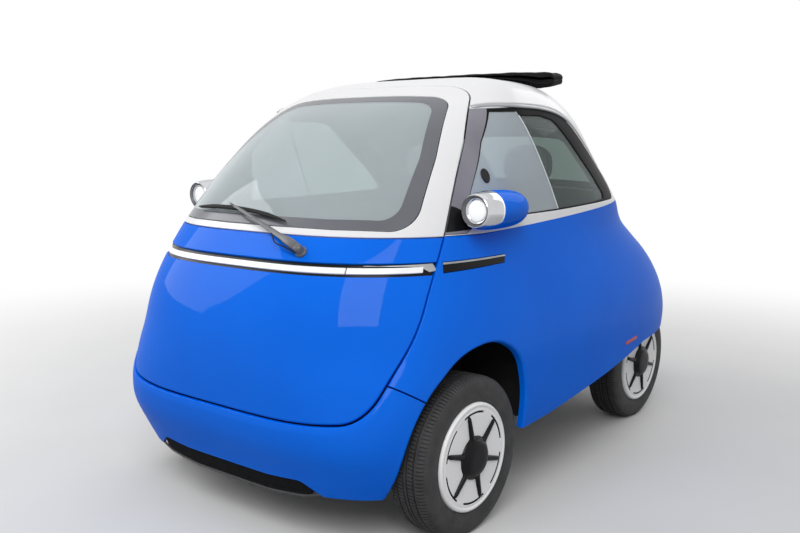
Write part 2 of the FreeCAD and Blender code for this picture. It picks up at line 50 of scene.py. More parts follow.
# Lengths are millimetres and y runs back from the front axle line, unless a note says otherwise.
FRONT = -789.5          # the front axle line in the row frame
WHEELBASE = 1571.0
HUB = 266.6             # height of the wheel centres
FRONT_X, REAR_X = 632.0, 488.0
BELT = 968.0            # where blue meets white on the front door
TAIL_BELT = 1030.0      # and on the tailgate
SIDES = (("left", 1), ("right", -1))
WHITE = (1.0, 1.0, 1.0, 1.0)

# ------------------------------------------------------------------ materials
MATS = {}


def empty_tree(owner):
    owner.use_nodes = True
    owner.node_tree.nodes.clear()
    return owner.node_tree


def new_mat(name):
    MATS[name] = bpy.data.materials.new(name)
    return empty_tree(MATS[name])


def node(tree, kind, sockets=None, give=0, **settings):
    """A new shader node's output; sockets holds a value or another output for each input."""
    made = tree.nodes.new("ShaderNode" + kind)
    for name, value in settings.items():
        setattr(made, name, value)
    for key, value in (sockets or {}).items():
        if isinstance(value, bpy.types.NodeSocket):
            tree.links.new(value, made.inputs[key])
        else:
            made.inputs[key].default_value = value
    return made.outputs[give] if made.outputs else None


def math_node(tree, operation, *terms, **settings):
    return node(tree, "Math", dict(enumerate(terms)), operation=operation, **settings)


def noise(tree, scale):
    where = node(tree, "TexCoord", give="Object")
    return node(tree, "TexNoise", {"Vector": where, "Scale": scale, "Detail": 3.0,
                                   "Roughness": 0.5})


def tones(tree, source, dark, light, low=0.3, high=0.7):
    """Blends two colours while the source runs from low to high."""
    made = tree.nodes.new("ShaderNodeValToRGB")
    stops = ((low, dark), (high, light))
    for element, (position, colour) in zip(made.color_ramp.elements, stops):
        element.position = position
        element.color = (*colour, 1.0)
    tree.links.new(source, made.inputs[0])
    return made.outputs[0]


def bump(tree, height, strength, distance):
    return node(tree, "Bump", {"Height": height, "Strength": strength, "Distance": distance})


def surface_mat(name, dark, light, rough, scale, grain, depth, metallic=0.0, coat=0.0,
                spec=0.5, tint=(1.0, 1.0, 1.0), glow=0.0):
    """Two close tones mottled by noise, a roughness that wanders and a fine bump.

    rough is the roughness from and to, scale is how fine the mottling is, and grain and
    depth are the bump's.
    """
    tree = new_mat(name)
    wander = node(tree, "MapRange", {0: noise(tree, scale * 0.37), "To Min": rough[0],
                                     "To Max": rough[1]})
    shader = node(tree, "BsdfPrincipled", {
        "Base Color": tones(tree, noise(tree, scale), dark, light), "Roughness": wander,
        "Metallic": metallic, "Coat Weight": coat, "Coat Roughness": 0.04,
        "Specular IOR Level": spec, "Specular Tint": (*tint, 1.0), "Emission Color": WHITE,
        "Emission Strength": glow, "Normal": bump(tree, noise(tree, grain), depth, 0.0004)})
    node(tree, "OutputMaterial", {0: shader})


surface_mat("blue_paint", (0.0, 0.138, 0.79), (0.0, 0.152, 0.84), (0.14, 0.2), 3, 900, 0.02,
            coat=0.2, spec=0.0)
surface_mat("white_paint", (0.78, 0.78, 0.8), (0.81, 0.81, 0.83), (0.25, 0.35), 3, 900, 0.02,
            coat=0.2, spec=0.3)
surface_mat("black_gloss", (0.005, 0.005, 0.006), (0.009, 0.009, 0.01), (0.2, 0.3), 9, 700, 0.01,
            spec=0.14)
# painted reflection: black gloss coloured the grey-lilac of the sky it mirrors
surface_mat("pillar_gloss", (0.185, 0.18, 0.215), (0.25, 0.245, 0.285), (0.2, 0.3), 5, 700, 0.01,
            spec=0.3)
surface_mat("black_plastic", (0.01, 0.01, 0.011), (0.018, 0.018, 0.019), (0.45, 0.6), 60, 1500,
            0.15, spec=0.22)
surface_mat("rubber_seal", (0.006, 0.006, 0.007), (0.012, 0.012, 0.012), (0.6, 0.75), 80, 1200,
            0.1, spec=0.2)
surface_mat("tyre_rubber", (0.02, 0.02, 0.021), (0.04, 0.04, 0.041), (0.62, 0.82), 25, 900, 0.2)
surface_mat("wheel_white", (0.89, 0.89, 0.9), (0.93, 0.93, 0.94), (0.3, 0.42), 12, 900, 0.03,
            coat=0.2)
surface_mat("chrome", (0.54, 0.55, 0.57), (0.62, 0.63, 0.65), (0.05, 0.1), 12, 500, 0.01,
            metallic=1.0)
surface_mat("brushed_steel", (0.3, 0.31, 0.32), (0.42, 0.43, 0.44), (0.32, 0.5), 18, 700, 0.08,
            metallic=0.85)
surface_mat("under_paint", (0.008, 0.008, 0.009), (0.016, 0.016, 0.017), (0.6, 0.8), 18, 300, 0.3,
            spec=0.2)
surface_mat("cabin_trim", (0.16, 0.165, 0.17), (0.2, 0.205, 0.21), (0.6, 0.75), 40, 900, 0.2)
surface_mat("dark_trim", (0.03, 0.031, 0.034), (0.045, 0.046, 0.05), (0.55, 0.7), 50, 1100, 0.2)
surface_mat("led_white", (0.86, 0.87, 0.88), (0.91, 0.91, 0.92), (0.15, 0.25), 40, 400, 0.02,
            coat=0.2, glow=0.08)
surface_mat("lamp_white", (0.88, 0.88, 0.86), (0.93, 0.93, 0.91), (0.2, 0.3), 60, 400, 0.02,
            glow=0.3)
surface_mat("red_lens", (0.4, 0.004, 0.01), (0.5, 0.006, 0.014), (0.2, 0.3), 60, 900, 0.3,
            coat=0.1, spec=0.3, tint=(1.0, 0.2, 0.2))
# frit: a black printed band coloured a bluish mid grey, a painted reflection of the sky on it
surface_mat("frit", (0.115, 0.12, 0.138), (0.15, 0.155, 0.178), (0.15, 0.25), 3, 700, 0.02,
            spec=0.35)
surface_mat("frit_dark", (0.008, 0.008, 0.009), (0.013, 0.013, 0.014), (0.35, 0.45), 8, 700, 0.02,
            spec=0.02)
surface_mat("rail_grey", (0.34, 0.35, 0.37), (0.42, 0.43, 0.45), (0.2, 0.3), 9, 700, 0.02,
            metallic=0.3)
surface_mat("arm_grey", (0.085, 0.085, 0.092), (0.13, 0.13, 0.14), (0.3, 0.42), 30, 900, 0.1)
surface_mat("top_vinyl", (0.004, 0.004, 0.005), (0.01, 0.01, 0.011), (0.5, 0.65), 14, 160, 0.5,
            spec=0.1)
surface_mat("plate_blank", (0.62, 0.62, 0.6), (0.68, 0.68, 0.66), (0.35, 0.45), 15, 500, 0.03)
surface_mat("sail_grey", (0.2, 0.235, 0.25), (0.26, 0.3, 0.32), (0.4, 0.5), 10, 900, 0.08)
surface_mat("headrest_shell", (0.5, 0.55, 0.6), (0.56, 0.61, 0.66), (0.35, 0.45), 12, 900, 0.05)
# painted highlight: the lit edge of a glass pane as a pale colour
surface_mat("pale_edge", (0.72, 0.76, 0.76), (0.8, 0.83, 0.83), (0.1, 0.2), 12, 900, 0.02)


def cloth_mat(name, dark, light, threads, depth):
    """A weave of two crossing waves, mottled by noise."""
    tree = new_mat(name)
    where = node(tree, "TexCoord", give="Object")
    waves = [node(tree, "TexWave", {"Vector": where, "Scale": threads, "Distortion": 0.6},
                  give="Fac", bands_direction=axis) for axis in ("X", "Z")]
    weave = math_node(tree, "MAXIMUM", *waves)
    mottled = math_node(tree, "MULTIPLY", weave, noise(tree, 35.0))
    shader = node(tree, "BsdfPrincipled", {
        "Base Color": tones(tree, mottled, dark, light, 0.1, 0.6), "Roughness": 0.88,
        "Sheen Weight": 0.3, "Normal": bump(tree, weave, depth, 0.0006)})
    node(tree, "OutputMaterial", {0: shader})


def glass_mat(name, tint, body, share, rough=0.02):
    """Thin glass: tint colours what is seen through it, and body is a painted reflection, the
    colour of what it mirrors.
    """
    tree = new_mat(name)
    # painted reflection: the body colour, mottled, laid on the glass as colour
    painted_reflection = tones(tree, noise(tree, 2.2), [0.92 * c for c in body], body)
    shine = node(tree, "BsdfPrincipled", {"Base Color": painted_reflection, "Roughness": rough,
                                          "Specular IOR Level": 0.6})
    clear = node(tree, "BsdfTransparent", {0: (*tint, 1.0)})
    # more of the painted reflection towards grazing angles
    edge = math_node(tree, "POWER", node(tree, "LayerWeight", give="Facing"), 5.0)
    lift = math_node(tree, "MULTIPLY_ADD", edge, 0.8, share, use_clamp=True)
    node(tree, "OutputMaterial", {0: node(tree, "MixShader", {0: lift, 1: clear, 2: shine})})


cloth_mat("seat_cloth", (0.02, 0.021, 0.024), (0.045, 0.046, 0.05), 260.0, 0.4)
# the body colours below are painted reflections on the glass
glass_mat("screen_glass", (0.86, 0.91, 0.90), (0.68, 0.75, 0.79), 0.38)
glass_mat("vent_glass", (0.84, 0.88, 0.89), (0.74, 0.82, 0.89), 0.38)
glass_mat("side_glass", (0.60, 0.66, 0.64), (0.50, 0.58, 0.57), 0.12)
glass_mat("lamp_glass", (0.97, 0.98, 0.98), (0.8, 0.82, 0.82), 0.03, rough=0.0)

# ------------------------------------------------------------------ body surface
# height, half width, nose, tail
PROFILE = [
    (150, 676, -408, 1850), (230, 698, -434, 1930), (330, 718, -462, 2003),
    (450, 724, -474, 2040), (600, 722, -472, 2038), (720, 703, -449, 1971),
    (850, 671, -388, 1806), (980, 643, -287, 1548), (1100, 626, -175, 1430),
    (1220, 604, -38, 1318), (1330, 573, 111, 1215), (1420, 518, 284, 1063),
    (1475, 399, 457, 926), (1501, 0, 700, 700),
]
# height, squareness of the section
NOSE_SQUARE = [(150, 3.6), (230, 4.0), (330, 4.2), (450, 3.8), (620, 2.95), (980, 2.87),
               (1501, 2.53)]
TAIL_SQUARE = [(150, 3.3), (500, 3.35), (600, 3.2), (700, 3.05), (850, 2.85), (930, 2.95),
               (1020, 3.6), (1070, 3.4), (1170, 3.0), (1300, 2.72), (1501, 2.41)]
TOP = 1501.0
SHOULDER = 980.0
WAIST, WAIST_RISE = 331.0, 240.0    # where the nose meets the tail, and how far it runs back
HALVINGS = 46           # of a ray, to find where it leaves the body


def level(z):
    """Evenly running parameter: straight below the shoulder, an arc above it."""
    s = (np.asarray(z, float) - SHOULDER) / (TOP - SHOULDER)
    return np.where(s > 0, np.arcsin(np.clip(s, 0, 1)), s)


def cubic(xs, ys, where):
    """Natural cubic spline through the points."""
    xs = np.asarray(xs, float)
    ys = np.asarray(ys, float)
    n = len(xs)
    h = np.diff(xs)
    a = np.zeros((n, n))
    b = np.zeros(n)
    a[0, 0] = a[-1, -1] = 1
    for i in range(1, n - 1):
        a[i, i - 1] = h[i - 1]
        a[i, i] = 2 * (h[i - 1] + h[i])
        a[i, i + 1] = h[i]
        b[i] = 3 * ((ys[i + 1] - ys[i]) / h[i] - (ys[i] - ys[i - 1]) / h[i - 1])
    c = np.linalg.solve(a, b)
    d = np.diff(c) / (3 * h)
    m = np.diff(ys) / h - h * (2 * c[:-1] + c[1:]) / 3
    i = np.clip(np.searchsorted(xs, where) - 1, 0, n - 2)
    t = where - xs[i]
    return ys[i] + t * (m[i] + t * (c[i] + t * d[i]))


def soften(values, reach, mirror):
    """Gaussian smoothing of an even table; mirror continues it past the top."""
    k = np.arange(-3 * reach, 3 * reach + 1)
    w = np.exp(-0.5 * (k / reach) ** 2)
    w /= w.sum()
    head = 2 * values[0] - values[1:3 * reach + 1][::-1]
    tail = mirror(values[-3 * reach - 1:-1][::-1])
    return np.convolve(np.concatenate([head, values, tail]), w, "valid")


def unit(v):
    """Vectors, one or one a row, brought to length 1."""
    return v / np.maximum(np.linalg.norm(v, axis=-1, keepdims=True), 1e-12)


T = np.linspace(float(level(120.0)), math.pi / 2, 3000)
KNOTS = level([row[0] for row in PROFILE])
HALF, NOSE, TAIL = (soften(cubic(KNOTS, [row[k] for row in PROFILE], T), 34, beyond)
                    for k, beyond in ((1, lambda v: -v), (2, lambda v: 1400 - v),
                                      (3, lambda v: 1400 - v)))
SQUARE, SQUARE_TAIL = (soften(np.interp(T, level([r[0] for r in rows]), [r[1] for r in rows]),
                              reach, lambda v: v)
                       for rows, reach in ((NOSE_SQUARE, 60), (TAIL_SQUARE, 30)))


def body_value(p):
    """Below 0 inside the body and above 0 outside."""
    x, y, z = p[..., 0], p[..., 1], p[..., 2]
    t = level(np.clip(z, 121, TOP))
    w = np.maximum(np.interp(t, T, HALF), 1e-3)
    f = np.interp(t, T, NOSE)
    r = np.interp(t, T, TAIL)
    mid = WAIST + WAIST_RISE * np.clip((z - SHOULDER) / (TOP - SHOULDER), 0, 1)
    mid = np.clip(mid, f + 1e-3, r - 1e-3)
    nose = y < mid
    n = np.where(nose, np.interp(t, T, SQUARE), np.interp(t, T, SQUARE_TAIL))
    reach = np.maximum(np.where(nose, mid - f, r - mid), 1e-6)
    value = (np.abs(x) / w) ** n + (np.abs(y - mid) / reach) ** n
    return np.where(z > TOP - 0.01, 1e3, value) - 1


def cast(eye, through, far=1.0):
    """Where rays from one eye, or one a point, through the points leave the body."""
    eye = np.asarray(eye, float)
    d = np.asarray(through, float) - eye
    near_s, far_s = np.zeros(len(d)), np.full(len(d), far)
    for _ in range(HALVINGS):
        s = 0.5 * (near_s + far_s)
        inside = body_value(eye + d * s[:, None]) < 0
        near_s = np.where(inside, s, near_s)
        far_s = np.where(inside, far_s, s)
    return eye + d * (0.5 * (near_s + far_s))[:, None]


def normals(p):
    g = np.zeros_like(p)
    for k, step in enumerate(np.eye(3) * 1.5):
        g[:, k] = body_value(p + step) - body_value(p - step)
    g[p[:, 2] > TOP - 2.5] = (0, 0, 1)
    return unit(g)


# ------------------------------------------------------------------ outlines
def rounded(corners, step=6.0):
    """Closed polyline with arc corners from (u, v, radius)."""
    pts = []
    count = len(corners)
    ends = []
    for i in range(count):
        u, v, r = corners[i]
        a = np.array(corners[i - 1][:2], float) - (u, v)
        b = np.array(corners[(i + 1) % count][:2], float) - (u, v)
        a /= np.linalg.norm(a)
        b /= np.linalg.norm(b)
        half = 0.5 * math.acos(max(-1, min(1, float(a @ b))))
        if r <= 0 or half > 1.565:
            ends.append([np.array([u, v], float)])
            continue
        back = r / math.tan(half)
        mid = (a + b) / np.linalg.norm(a + b)
        centre = np.array([u, v]) + mid * (r / math.sin(half))
        p0 = np.array([u, v]) + a * back - centre
        p1 = np.array([u, v]) + b * back - centre
        turn = math.atan2(p0[0] * p1[1] - p0[1] * p1[0], float(p0 @ p1))
        n = max(4, int(abs(turn) * r / step))
        arc = []
        for k in range(n + 1):
            t = turn * k / n
            c, s = math.cos(t), math.sin(t)
            arc.append(centre + (p0[0] * c - p0[1] * s, p0[0] * s + p0[1] * c))
        ends.append(arc)
    for i in range(count):
        pts += ends[i]
        p, q = ends[i][-1], ends[(i + 1) % count][0]
        n = int(np.linalg.norm(q - p) / step)
        for k in range(1, n):
            pts.append(p + (q - p) * k / n)
    return np.array(pts)


def doubled(corners):
    """One half of a closed outline and its mirror image."""
    return corners + [(-u, v, r) for u, v, r in reversed(corners)]


def on_body(flat, axis=0, start=0.0, end=900.0):
    """Points given square to an axis, cast along it on to the body from start towards end."""
    through = np.insert(np.asarray(flat, float), axis, end, axis=1)
    eye = through.copy()
    eye[:, axis] = start
    return cast(eye, through)


def side_loop(corners, step=6.0):
    """Outline given from the side (y, z, radius), laid on the left flank."""
    return on_body(rounded(corners, step))


def nose_loop(corners):
    """Outline given from the front (x, z, radius), laid on the nose."""
    return on_body(rounded(corners), 1, 300.0, -900.0)


def top_loop(corners):
    """Half an outline given from above (x, y, radius), doubled and laid on the roof."""
    return on_body(rounded(doubled(corners), 8.0), 2, 600.0, 2000.0)


def straight(*corners):
    """Outline with sharp corners, given from the side (y, z)."""
    return side_loop([(y, z, 0) for y, z in corners])


def shift_loop(loop, d):
    """The loop moved sideways over the surface by d, away from its middle when d > 0."""
    side = np.cross(unit(np.roll(loop, -1, 0) - np.roll(loop, 1, 0)), normals(loop))
    if ((loop - loop.mean(0)) * side).sum() < 0:
        side = -side
    return loop + side * d


def inside_polygon(poly, pts):
    """Even-odd test of many points."""
    x, y = pts[:, 0], pts[:, 1]
    hit = np.zeros(len(pts), bool)
    px, py = poly[:, 0], poly[:, 1]
    qx, qy = np.roll(px, -1), np.roll(py, -1)
    for k in range(len(poly)):
        if py[k] == qy[k]:
            continue
        cross = (py[k] > y) != (qy[k] > y)
        at_x = px[k] + (y - py[k]) * (qx[k] - px[k]) / (qy[k] - py[k])
        hit ^= cross & (x < at_x)
    return hit


def inside_any(loops, points):
    """Even-odd test of many points against several outlines at once."""
    inside = np.zeros(len(points), bool)
    for loop in loops:
        inside ^= inside_polygon(loop, points)
    return inside


# ------------------------------------------------------------------ meshes
def place(points):
    """Axle-line millimetres to the frame's metres."""
    p = np.asarray(points, float)
    return (p + (0, FRONT, 0)) / 1000.0


def add_object(name, verts, faces, mats, face_mats=None, normal=None, smooth=True):
    mesh = bpy.data.meshes.new(name)
    mesh.from_pydata([tuple(v) for v in place(verts)], [], [tuple(f) for f in faces])
    for m in mats:
        mesh.materials.append(MATS[m])
    if face_mats is not None:
        mesh.polygons.foreach_set("material_index", np.asarray(face_mats, np.int32))
    mesh.polygons.foreach_set("use_smooth", np.full(len(mesh.polygons), smooth))
    mesh.update()
    if normal is not None:
        mesh.normals_split_custom_set_from_vertices([tuple(n) for n in normal])
    ob = bpy.data.objects.new(name, mesh)
    bpy.context.scene.collection.objects.link(ob)
    return ob


def settle(ob, body, slot_name, *nodes):
    """Rides on a body and stands for CAD nodes; slot_name, the record slot, is not used."""
    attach(ob, body)
    if nodes:
        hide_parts(*nodes)
    return ob


class View:
    """An eye inside the body, a plane that its rays are drawn on, and the body it serves."""

    def __init__(self, body, eye, axis, value):
        self.body = body
        self.eye = np.array(eye, float)
        self.axis = axis
        self.value = float(value)
        self.keep = [k for k in range(3) if k != axis]

    def flat(self, points):
        d = np.asarray(points, float) - self.eye
        s = (self.value - self.eye[self.axis]) / d[:, self.axis]
        return (self.eye + d * s[:, None])[:, self.keep]

    def solid(self, flat):
        return cast(self.eye, np.insert(flat, self.axis, self.value, axis=1), 1.6)

    def outline(self, half):
        """Half an outline near the body (x, y, z, radius), doubled and laid on it."""
        shares = [(self.value - self.eye[1]) / (y - self.eye[1]) for _, y, _, _ in half]
        corners = [(x * share, self.eye[2] + (z - self.eye[2]) * share, r * share)
                   for (x, _, z, r), share in zip(half, shares)]
        return self.solid(rounded(doubled(corners), 8.0))


DOOR_VIEW = View("front_door", (0, 1000, 800), 1, -700)
LEFT_VIEW = View("body", (-560, 700, 750), 0, 900)
REAR_VIEW = View("tailgate", (0, 500, 900), 1, 2400)
ROOF_VIEW = View("body", (0, 640, 200), 2, 1700)
CHIN_VIEW = View("body", (0, 330, 400), 1, -700)
TAIL_VIEW = View("body", (0, 1000, 500), 1, 2400)


def triangulate(flat_points, edges):
    out = delaunay_2d_cdt([Vector(p) for p in flat_points], edges, [], 0, 1e-4)
    return np.array([tuple(v) for v in out[0]]), np.array([tuple(f) for f in out[2]]), out[3]


def closed_edges(sizes):
    edges = []
    base = 0
    for n in sizes:
        edges += [(base + i, base + (i + 1) % n) for i in range(n)]
        base += n
    return edges


def in_region(pts, plus, minus):
    ok = np.ones(len(pts), bool)
    for poly in plus:
        ok &= inside_polygon(poly, pts)
    for poly in minus:
        ok &= ~inside_polygon(poly, pts)
    return ok


def region_loops(plus, minus):
    """Edges, in order, of what lies in every plus outline and in no minus outline.

    Which outlines a triangle lies in is passed on from one triangle to the next across
    the outlines' own edges, so slivers on long straight runs are sorted rightly too.
    """
    polys = list(plus) + list(minus)
    starts = np.cumsum([0] + [len(p) for p in polys])
    points, edges, tris, _, olds, _ = delaunay_2d_cdt(
        [Vector(p) for p in np.concatenate(polys)], closed_edges([len(p) for p in polys]),
        [], 0, 1e-4)
    v = np.array([tuple(p) for p in points])
    wall, beside, within = {}, {}, {}
    for edge, sources in zip(edges, olds):
        bits = 0
        for old in sources:
            bits ^= 1 << int(np.searchsorted(starts, old, "right") - 1)
        wall[frozenset(edge)] = bits
    for k, tri in enumerate(tris):
        for i in range(3):
            beside.setdefault(frozenset((tri[i], tri[i - 1])), []).append(k)
    queue = [(ks[0], wall[edge]) for edge, ks in beside.items() if len(ks) == 1]
    while queue:
        k, bits = queue.pop()
        if k in within:
            continue
        within[k] = bits
        for i in range(3):
            edge = frozenset((tris[k][i], tris[k][i - 1]))
            queue += [(j, bits ^ wall[edge]) for j in beside[edge] if j not in within]
    wanted = (1 << len(plus)) - 1
    pairs = {(tris[k][i - 1], tris[k][i]) for k, bits in within.items() if bits == wanted
             for i in range(3)}
    follow = {}
    for a, b in sorted(pairs):
        if (b, a) not in pairs:
            follow.setdefault(a, []).append(b)
    loops = []
    while follow:
        start = next(iter(follow))
        loop, at = [], start
        while at in follow:
            loop.append(at)
            after = follow[at].pop()
            if not follow[at]:
                del follow[at]
            at = after
            if at == start:
                break
        if len(loop) > 7:
            loops.append(even(v[loop]))
    return loops


def even(loop, shortest=1.2):
    """Drops points that crowd their neighbour."""
    kept = [loop[0]]
    for p in loop[1:]:
        if np.linalg.norm(p - kept[-1]) > shortest:
            kept.append(p)
    if np.linalg.norm(kept[0] - kept[-1]) < shortest:
        kept.pop()
    return np.array(kept)


def sideways(points, n):
    """Directions along the surface, square to the loop, mitred at corners."""
    o = unit(np.cross(np.roll(points, -1, 0) - points, n))
    before = np.roll(o, 1, 0)
    dot = np.clip((o * before).sum(1), -0.6, 1)
    return (o + before) / (1 + dot)[:, None]


def hex_grid(low, high, step):
    rows = np.arange(low[1], high[1], step * 0.866)
    cols = np.arange(low[0], high[0], step)
    u, v = np.meshgrid(cols, rows)
    u = u + (np.arange(len(rows)) % 2)[:, None] * step * 0.5
    return np.stack([u.ravel(), v.ravel()], 1)


SKIN_ROLL, SKIN_DEPTH = 2.2, 26.0    # edge radius and flange of a body panel
ROLL_TURNS = 3          # steps round a rolled edge


def loop_rings(view, plus, minus, roll):
    """Each edge of a region: its points, normals, outward directions and rolls."""
    rings = []
    for flat in region_loops(plus, minus):
        edge = view.solid(flat)
        n = normals(edge)
        out = sideways(edge, n)
        if in_region(view.flat(edge + out * 2.0), plus, minus).mean() > 0.5:
            out = -out
        r = roll(edge) if callable(roll) else np.full(len(edge), float(roll))
        for _ in range(4):
            r = (np.roll(r, 1) + 2 * r + np.roll(r, -1)) / 4
        rings.append((edge, n, out, r[:, None]))
    return rings


def sheet_mesh(view, rings, step):
    """Triangles inside the rings, and where each ring point has gone."""
    inner = [view.flat(edge - out * r) for edge, _, out, r in rings]
    ring_flat = np.concatenate(inner)
    grid = hex_grid(ring_flat.min(0), ring_flat.max(0), step)
    grid = grid[inside_any(inner, grid)]
    close = np.zeros(len(grid), bool)
    for point in ring_flat[::2]:
        close |= np.abs(grid - point).max(1) < step * 0.45
    v, tris, origin = triangulate(np.concatenate([ring_flat, grid[~close]]),
                                  closed_edges([len(p) for p in inner]))
    tris = tris[inside_any(inner, v[tris].mean(1))]
    place_of = {old: new for new, olds in enumerate(origin) for old in olds}
    top = view.solid(v)
    top_n = normals(top)
    ids = [place_of[k] for k in range(len(ring_flat))]
    top[ids] = np.concatenate([edge - out * r for edge, _, out, r in rings])
    top_n[ids] = np.concatenate([n for _, n, _, _ in rings])
    a, b, c = (top[tris[:, k]] for k in range(3))
    if (np.cross(b - a, c - a) * top_n[tris[:, 0]]).sum(1).mean() < 0:
        tris = tris[:, ::-1]
    return top, top_n, tris, ids


def panel(mats, view, plus, minus=(), step=15.0, roll=SKIN_ROLL, depth=SKIN_DEPTH, sink=0.0,
          lift=None):
    """A sheet of the body's skin with rolled edges, a return flange and an inner face.

    plus and minus are closed outlines on the body. roll may be a function of the edge
    points. lift, a function of points, raises the sheet off the body along its normal, and
    sink lowers all of it.
    """
    plus = [view.flat(p) for p in plus]
    minus = [view.flat(p) for p in minus]
    rings = loop_rings(view, plus, minus, roll)
    top, top_n, tris, ring_ids = sheet_mesh(view, rings, step)
    raise_by = lift(top) if lift else np.zeros(len(top))
    shift = top_n * (raise_by - sink)[:, None]
    outer = top + shift
    if lift:
        top_n = mesh_normals(outer, tris)
    count = len(outer)
    verts = [outer, outer - top_n * depth]
    norms = [top_n, -top_n]
    faces = tris.tolist() + (tris[:, ::-1] + count).tolist()
    slots = [0] * len(tris) + [len(mats) - 1] * len(tris)
    base, start = 2 * count, 0
    for edge, n, o, r in rings:
        ids = ring_ids[start:start + len(edge)]
        start += len(edge)
        before = ids
        for k in range(1, ROLL_TURNS + 2):
            if k <= ROLL_TURNS:
                t = 0.5 * math.pi * k / ROLL_TURNS
                p = edge - o * r * (1 - math.sin(t)) - n * r * (1 - math.cos(t)) + shift[ids]
                m = n * math.cos(t) + o * math.sin(t)
            else:
                p = p - n * np.maximum(depth - r, 0.5)
                m = o
            verts.append(p)
            norms.append(unit(m))
            now = list(range(base, base + len(edge)))
            base += len(edge)
            faces += join(before, now)
            slots += [0] * len(edge)
            before = now
        faces += join(before, [count + i for i in ids])
        slots += [len(mats) - 1] * len(edge)
    verts = np.concatenate(verts)
    norms = np.concatenate(norms)
    return verts, turn_out(verts, faces, norms), slots, norms


def join(a, b):
    """Quads between two closed rows of point numbers."""
    n = len(a)
    return [[a[i], a[(i + 1) % n], b[(i + 1) % n], b[i]] for i in range(n)]


def turn_out(verts, faces, norms):
    """Turns faces round so that they agree with their vertices' normals."""
    result = []
    for f in faces:
        p = verts[f]
        face_n = np.cross(p[1] - p[0], p[2] - p[0])
        if len(f) == 4:
            face_n = face_n + np.cross(p[2] - p[0], p[3] - p[0])
        if face_n @ norms[f].sum(0) < 0:
            f = f[::-1]
        result.append(f)
    return result


def mesh_normals(p, tris):
    n = np.zeros_like(p)
    face = np.cross(p[tris[:, 1]] - p[tris[:, 0]], p[tris[:, 2]] - p[tris[:, 0]])
    for k in range(3):
        np.add.at(n, tris[:, k], face)
    return unit(n)


def panel_object(name, mats, slot_name, nodes, view, plus, minus=(), mirror=False, **how):
    """A panel as a piece; mats and nodes are names with spaces between, outer side first."""
    mats = mats.split()
    v, f, s, n = panel(mats, view, plus, minus, **how)
    if mirror:
        v, n = v * (-1, 1, 1), n * (-1, 1, 1)
        f = [face[::-1] for face in f]
    return settle(add_object(name, v, f, mats, s, n), view.body, slot_name, *nodes.split())


def on_flanks(*parts):
    """Panels on the left flank and, mirrored, on the right.

    A part's nodes may hold a * for the side's name; without one the left piece has them.
    """
    for side, sign in SIDES:
        for name, mats, slot_name, nodes, plus, minus, how in parts:
            own = nodes.replace("*", side) if sign > 0 or "*" in nodes else ""
            panel_object(f"{name}_{side}", mats, slot_name, own, LEFT_VIEW, plus, minus,
                         mirror=sign < 0, **how)


def loft(rings, close_ends=True):
    """Skin through rings of equal length; rings run round, one after another."""
    n = len(rings[0])
    verts = np.concatenate(rings)
    faces = []
    for k in range(len(rings) - 1):
        a = list(range(k * n, (k + 1) * n))
        b = list(range((k + 1) * n, (k + 2) * n))
        faces += join(a, b)
    if close_ends:
        faces.append(list(range(n))[::-1])
        faces.append(list(range((len(rings) - 1) * n, len(rings) * n)))
    return verts, faces


def ring(centre, u, v, a, b, square=2.0, count=32):
    """Superellipse ring about a centre, in the plane of unit vectors u and v."""
    t = np.linspace(0, 2 * math.pi, count, endpoint=False)
    c, s = np.cos(t), np.sin(t)
    cu = np.sign(c) * np.abs(c) ** (2 / square) * a
    sv = np.sign(s) * np.abs(s) ** (2 / square) * b
    return np.asarray(centre, float) + np.outer(cu, u) + np.outer(sv, v)


def soft_box(low, high, axis=2, edge=12.0, square=6.0, count=48, turns=5):
    """Box with rounded edges all round, built of rings along one axis."""
    low, high = np.array(low, float), np.array(high, float)
    mid, half = (low + high) / 2, (high - low) / 2
    keep = [k for k in range(3) if k != axis]
    u, v, w = np.eye(3)[keep[0]], np.eye(3)[keep[1]], np.eye(3)[axis]
    if np.dot(np.cross(u, v), w) < 0:
        u, v = v, u
        keep = keep[::-1]
    rings = []
    for side in (-1, 1):
        steps = np.linspace(0, math.pi / 2, turns)
        if side > 0:
            steps = steps[::-1]
        for t in steps:
            inset = edge * (1 - math.sin(t))
            along = side * (half[axis] - edge * (1 - math.cos(t)))
            rings.append(ring(mid + w * along, u, v, half[keep[0]] - inset,
                              half[keep[1]] - inset, square, count))
    return loft(rings)


def grid_faces(rows, count, closed=True):
    """Quads over points stored row after row; closed joins the last row to the first."""
    faces = []
    for i in range(rows if closed else rows - 1):
        a, b = i * count, (i + 1) % rows * count
        faces += [[a + k, a + k + 1, b + k + 1, b + k] for k in range(count - 1)]
    return faces


def lathe(profile, centre, steps=96, axis=0):
    """Turns (along, radius) points about an axis through the centre."""
    u, v = [np.eye(3)[k] for k in range(3) if k != axis]
    w = np.eye(3)[axis]
    verts = [np.asarray(centre) + w * a + (u * math.cos(t) + v * math.sin(t)) * r
             for t in np.linspace(0, 2 * math.pi, steps, endpoint=False) for a, r in profile]
    return np.array(verts), grid_faces(steps, len(profile))


def merge(*meshes):
    """Joins (verts, faces) pairs into one."""
    verts, faces = [], []
    base = 0
    for v, f in meshes:
        verts.append(np.asarray(v))
        faces += [[k + base for k in face] for face in f]
        base += len(v)
    return np.concatenate(verts), faces


def flipped(mesh, side):
    """The mesh itself when side is 1 and its mirror image when side is -1."""
    return mesh[0] * (side, 1, 1), mesh[1]


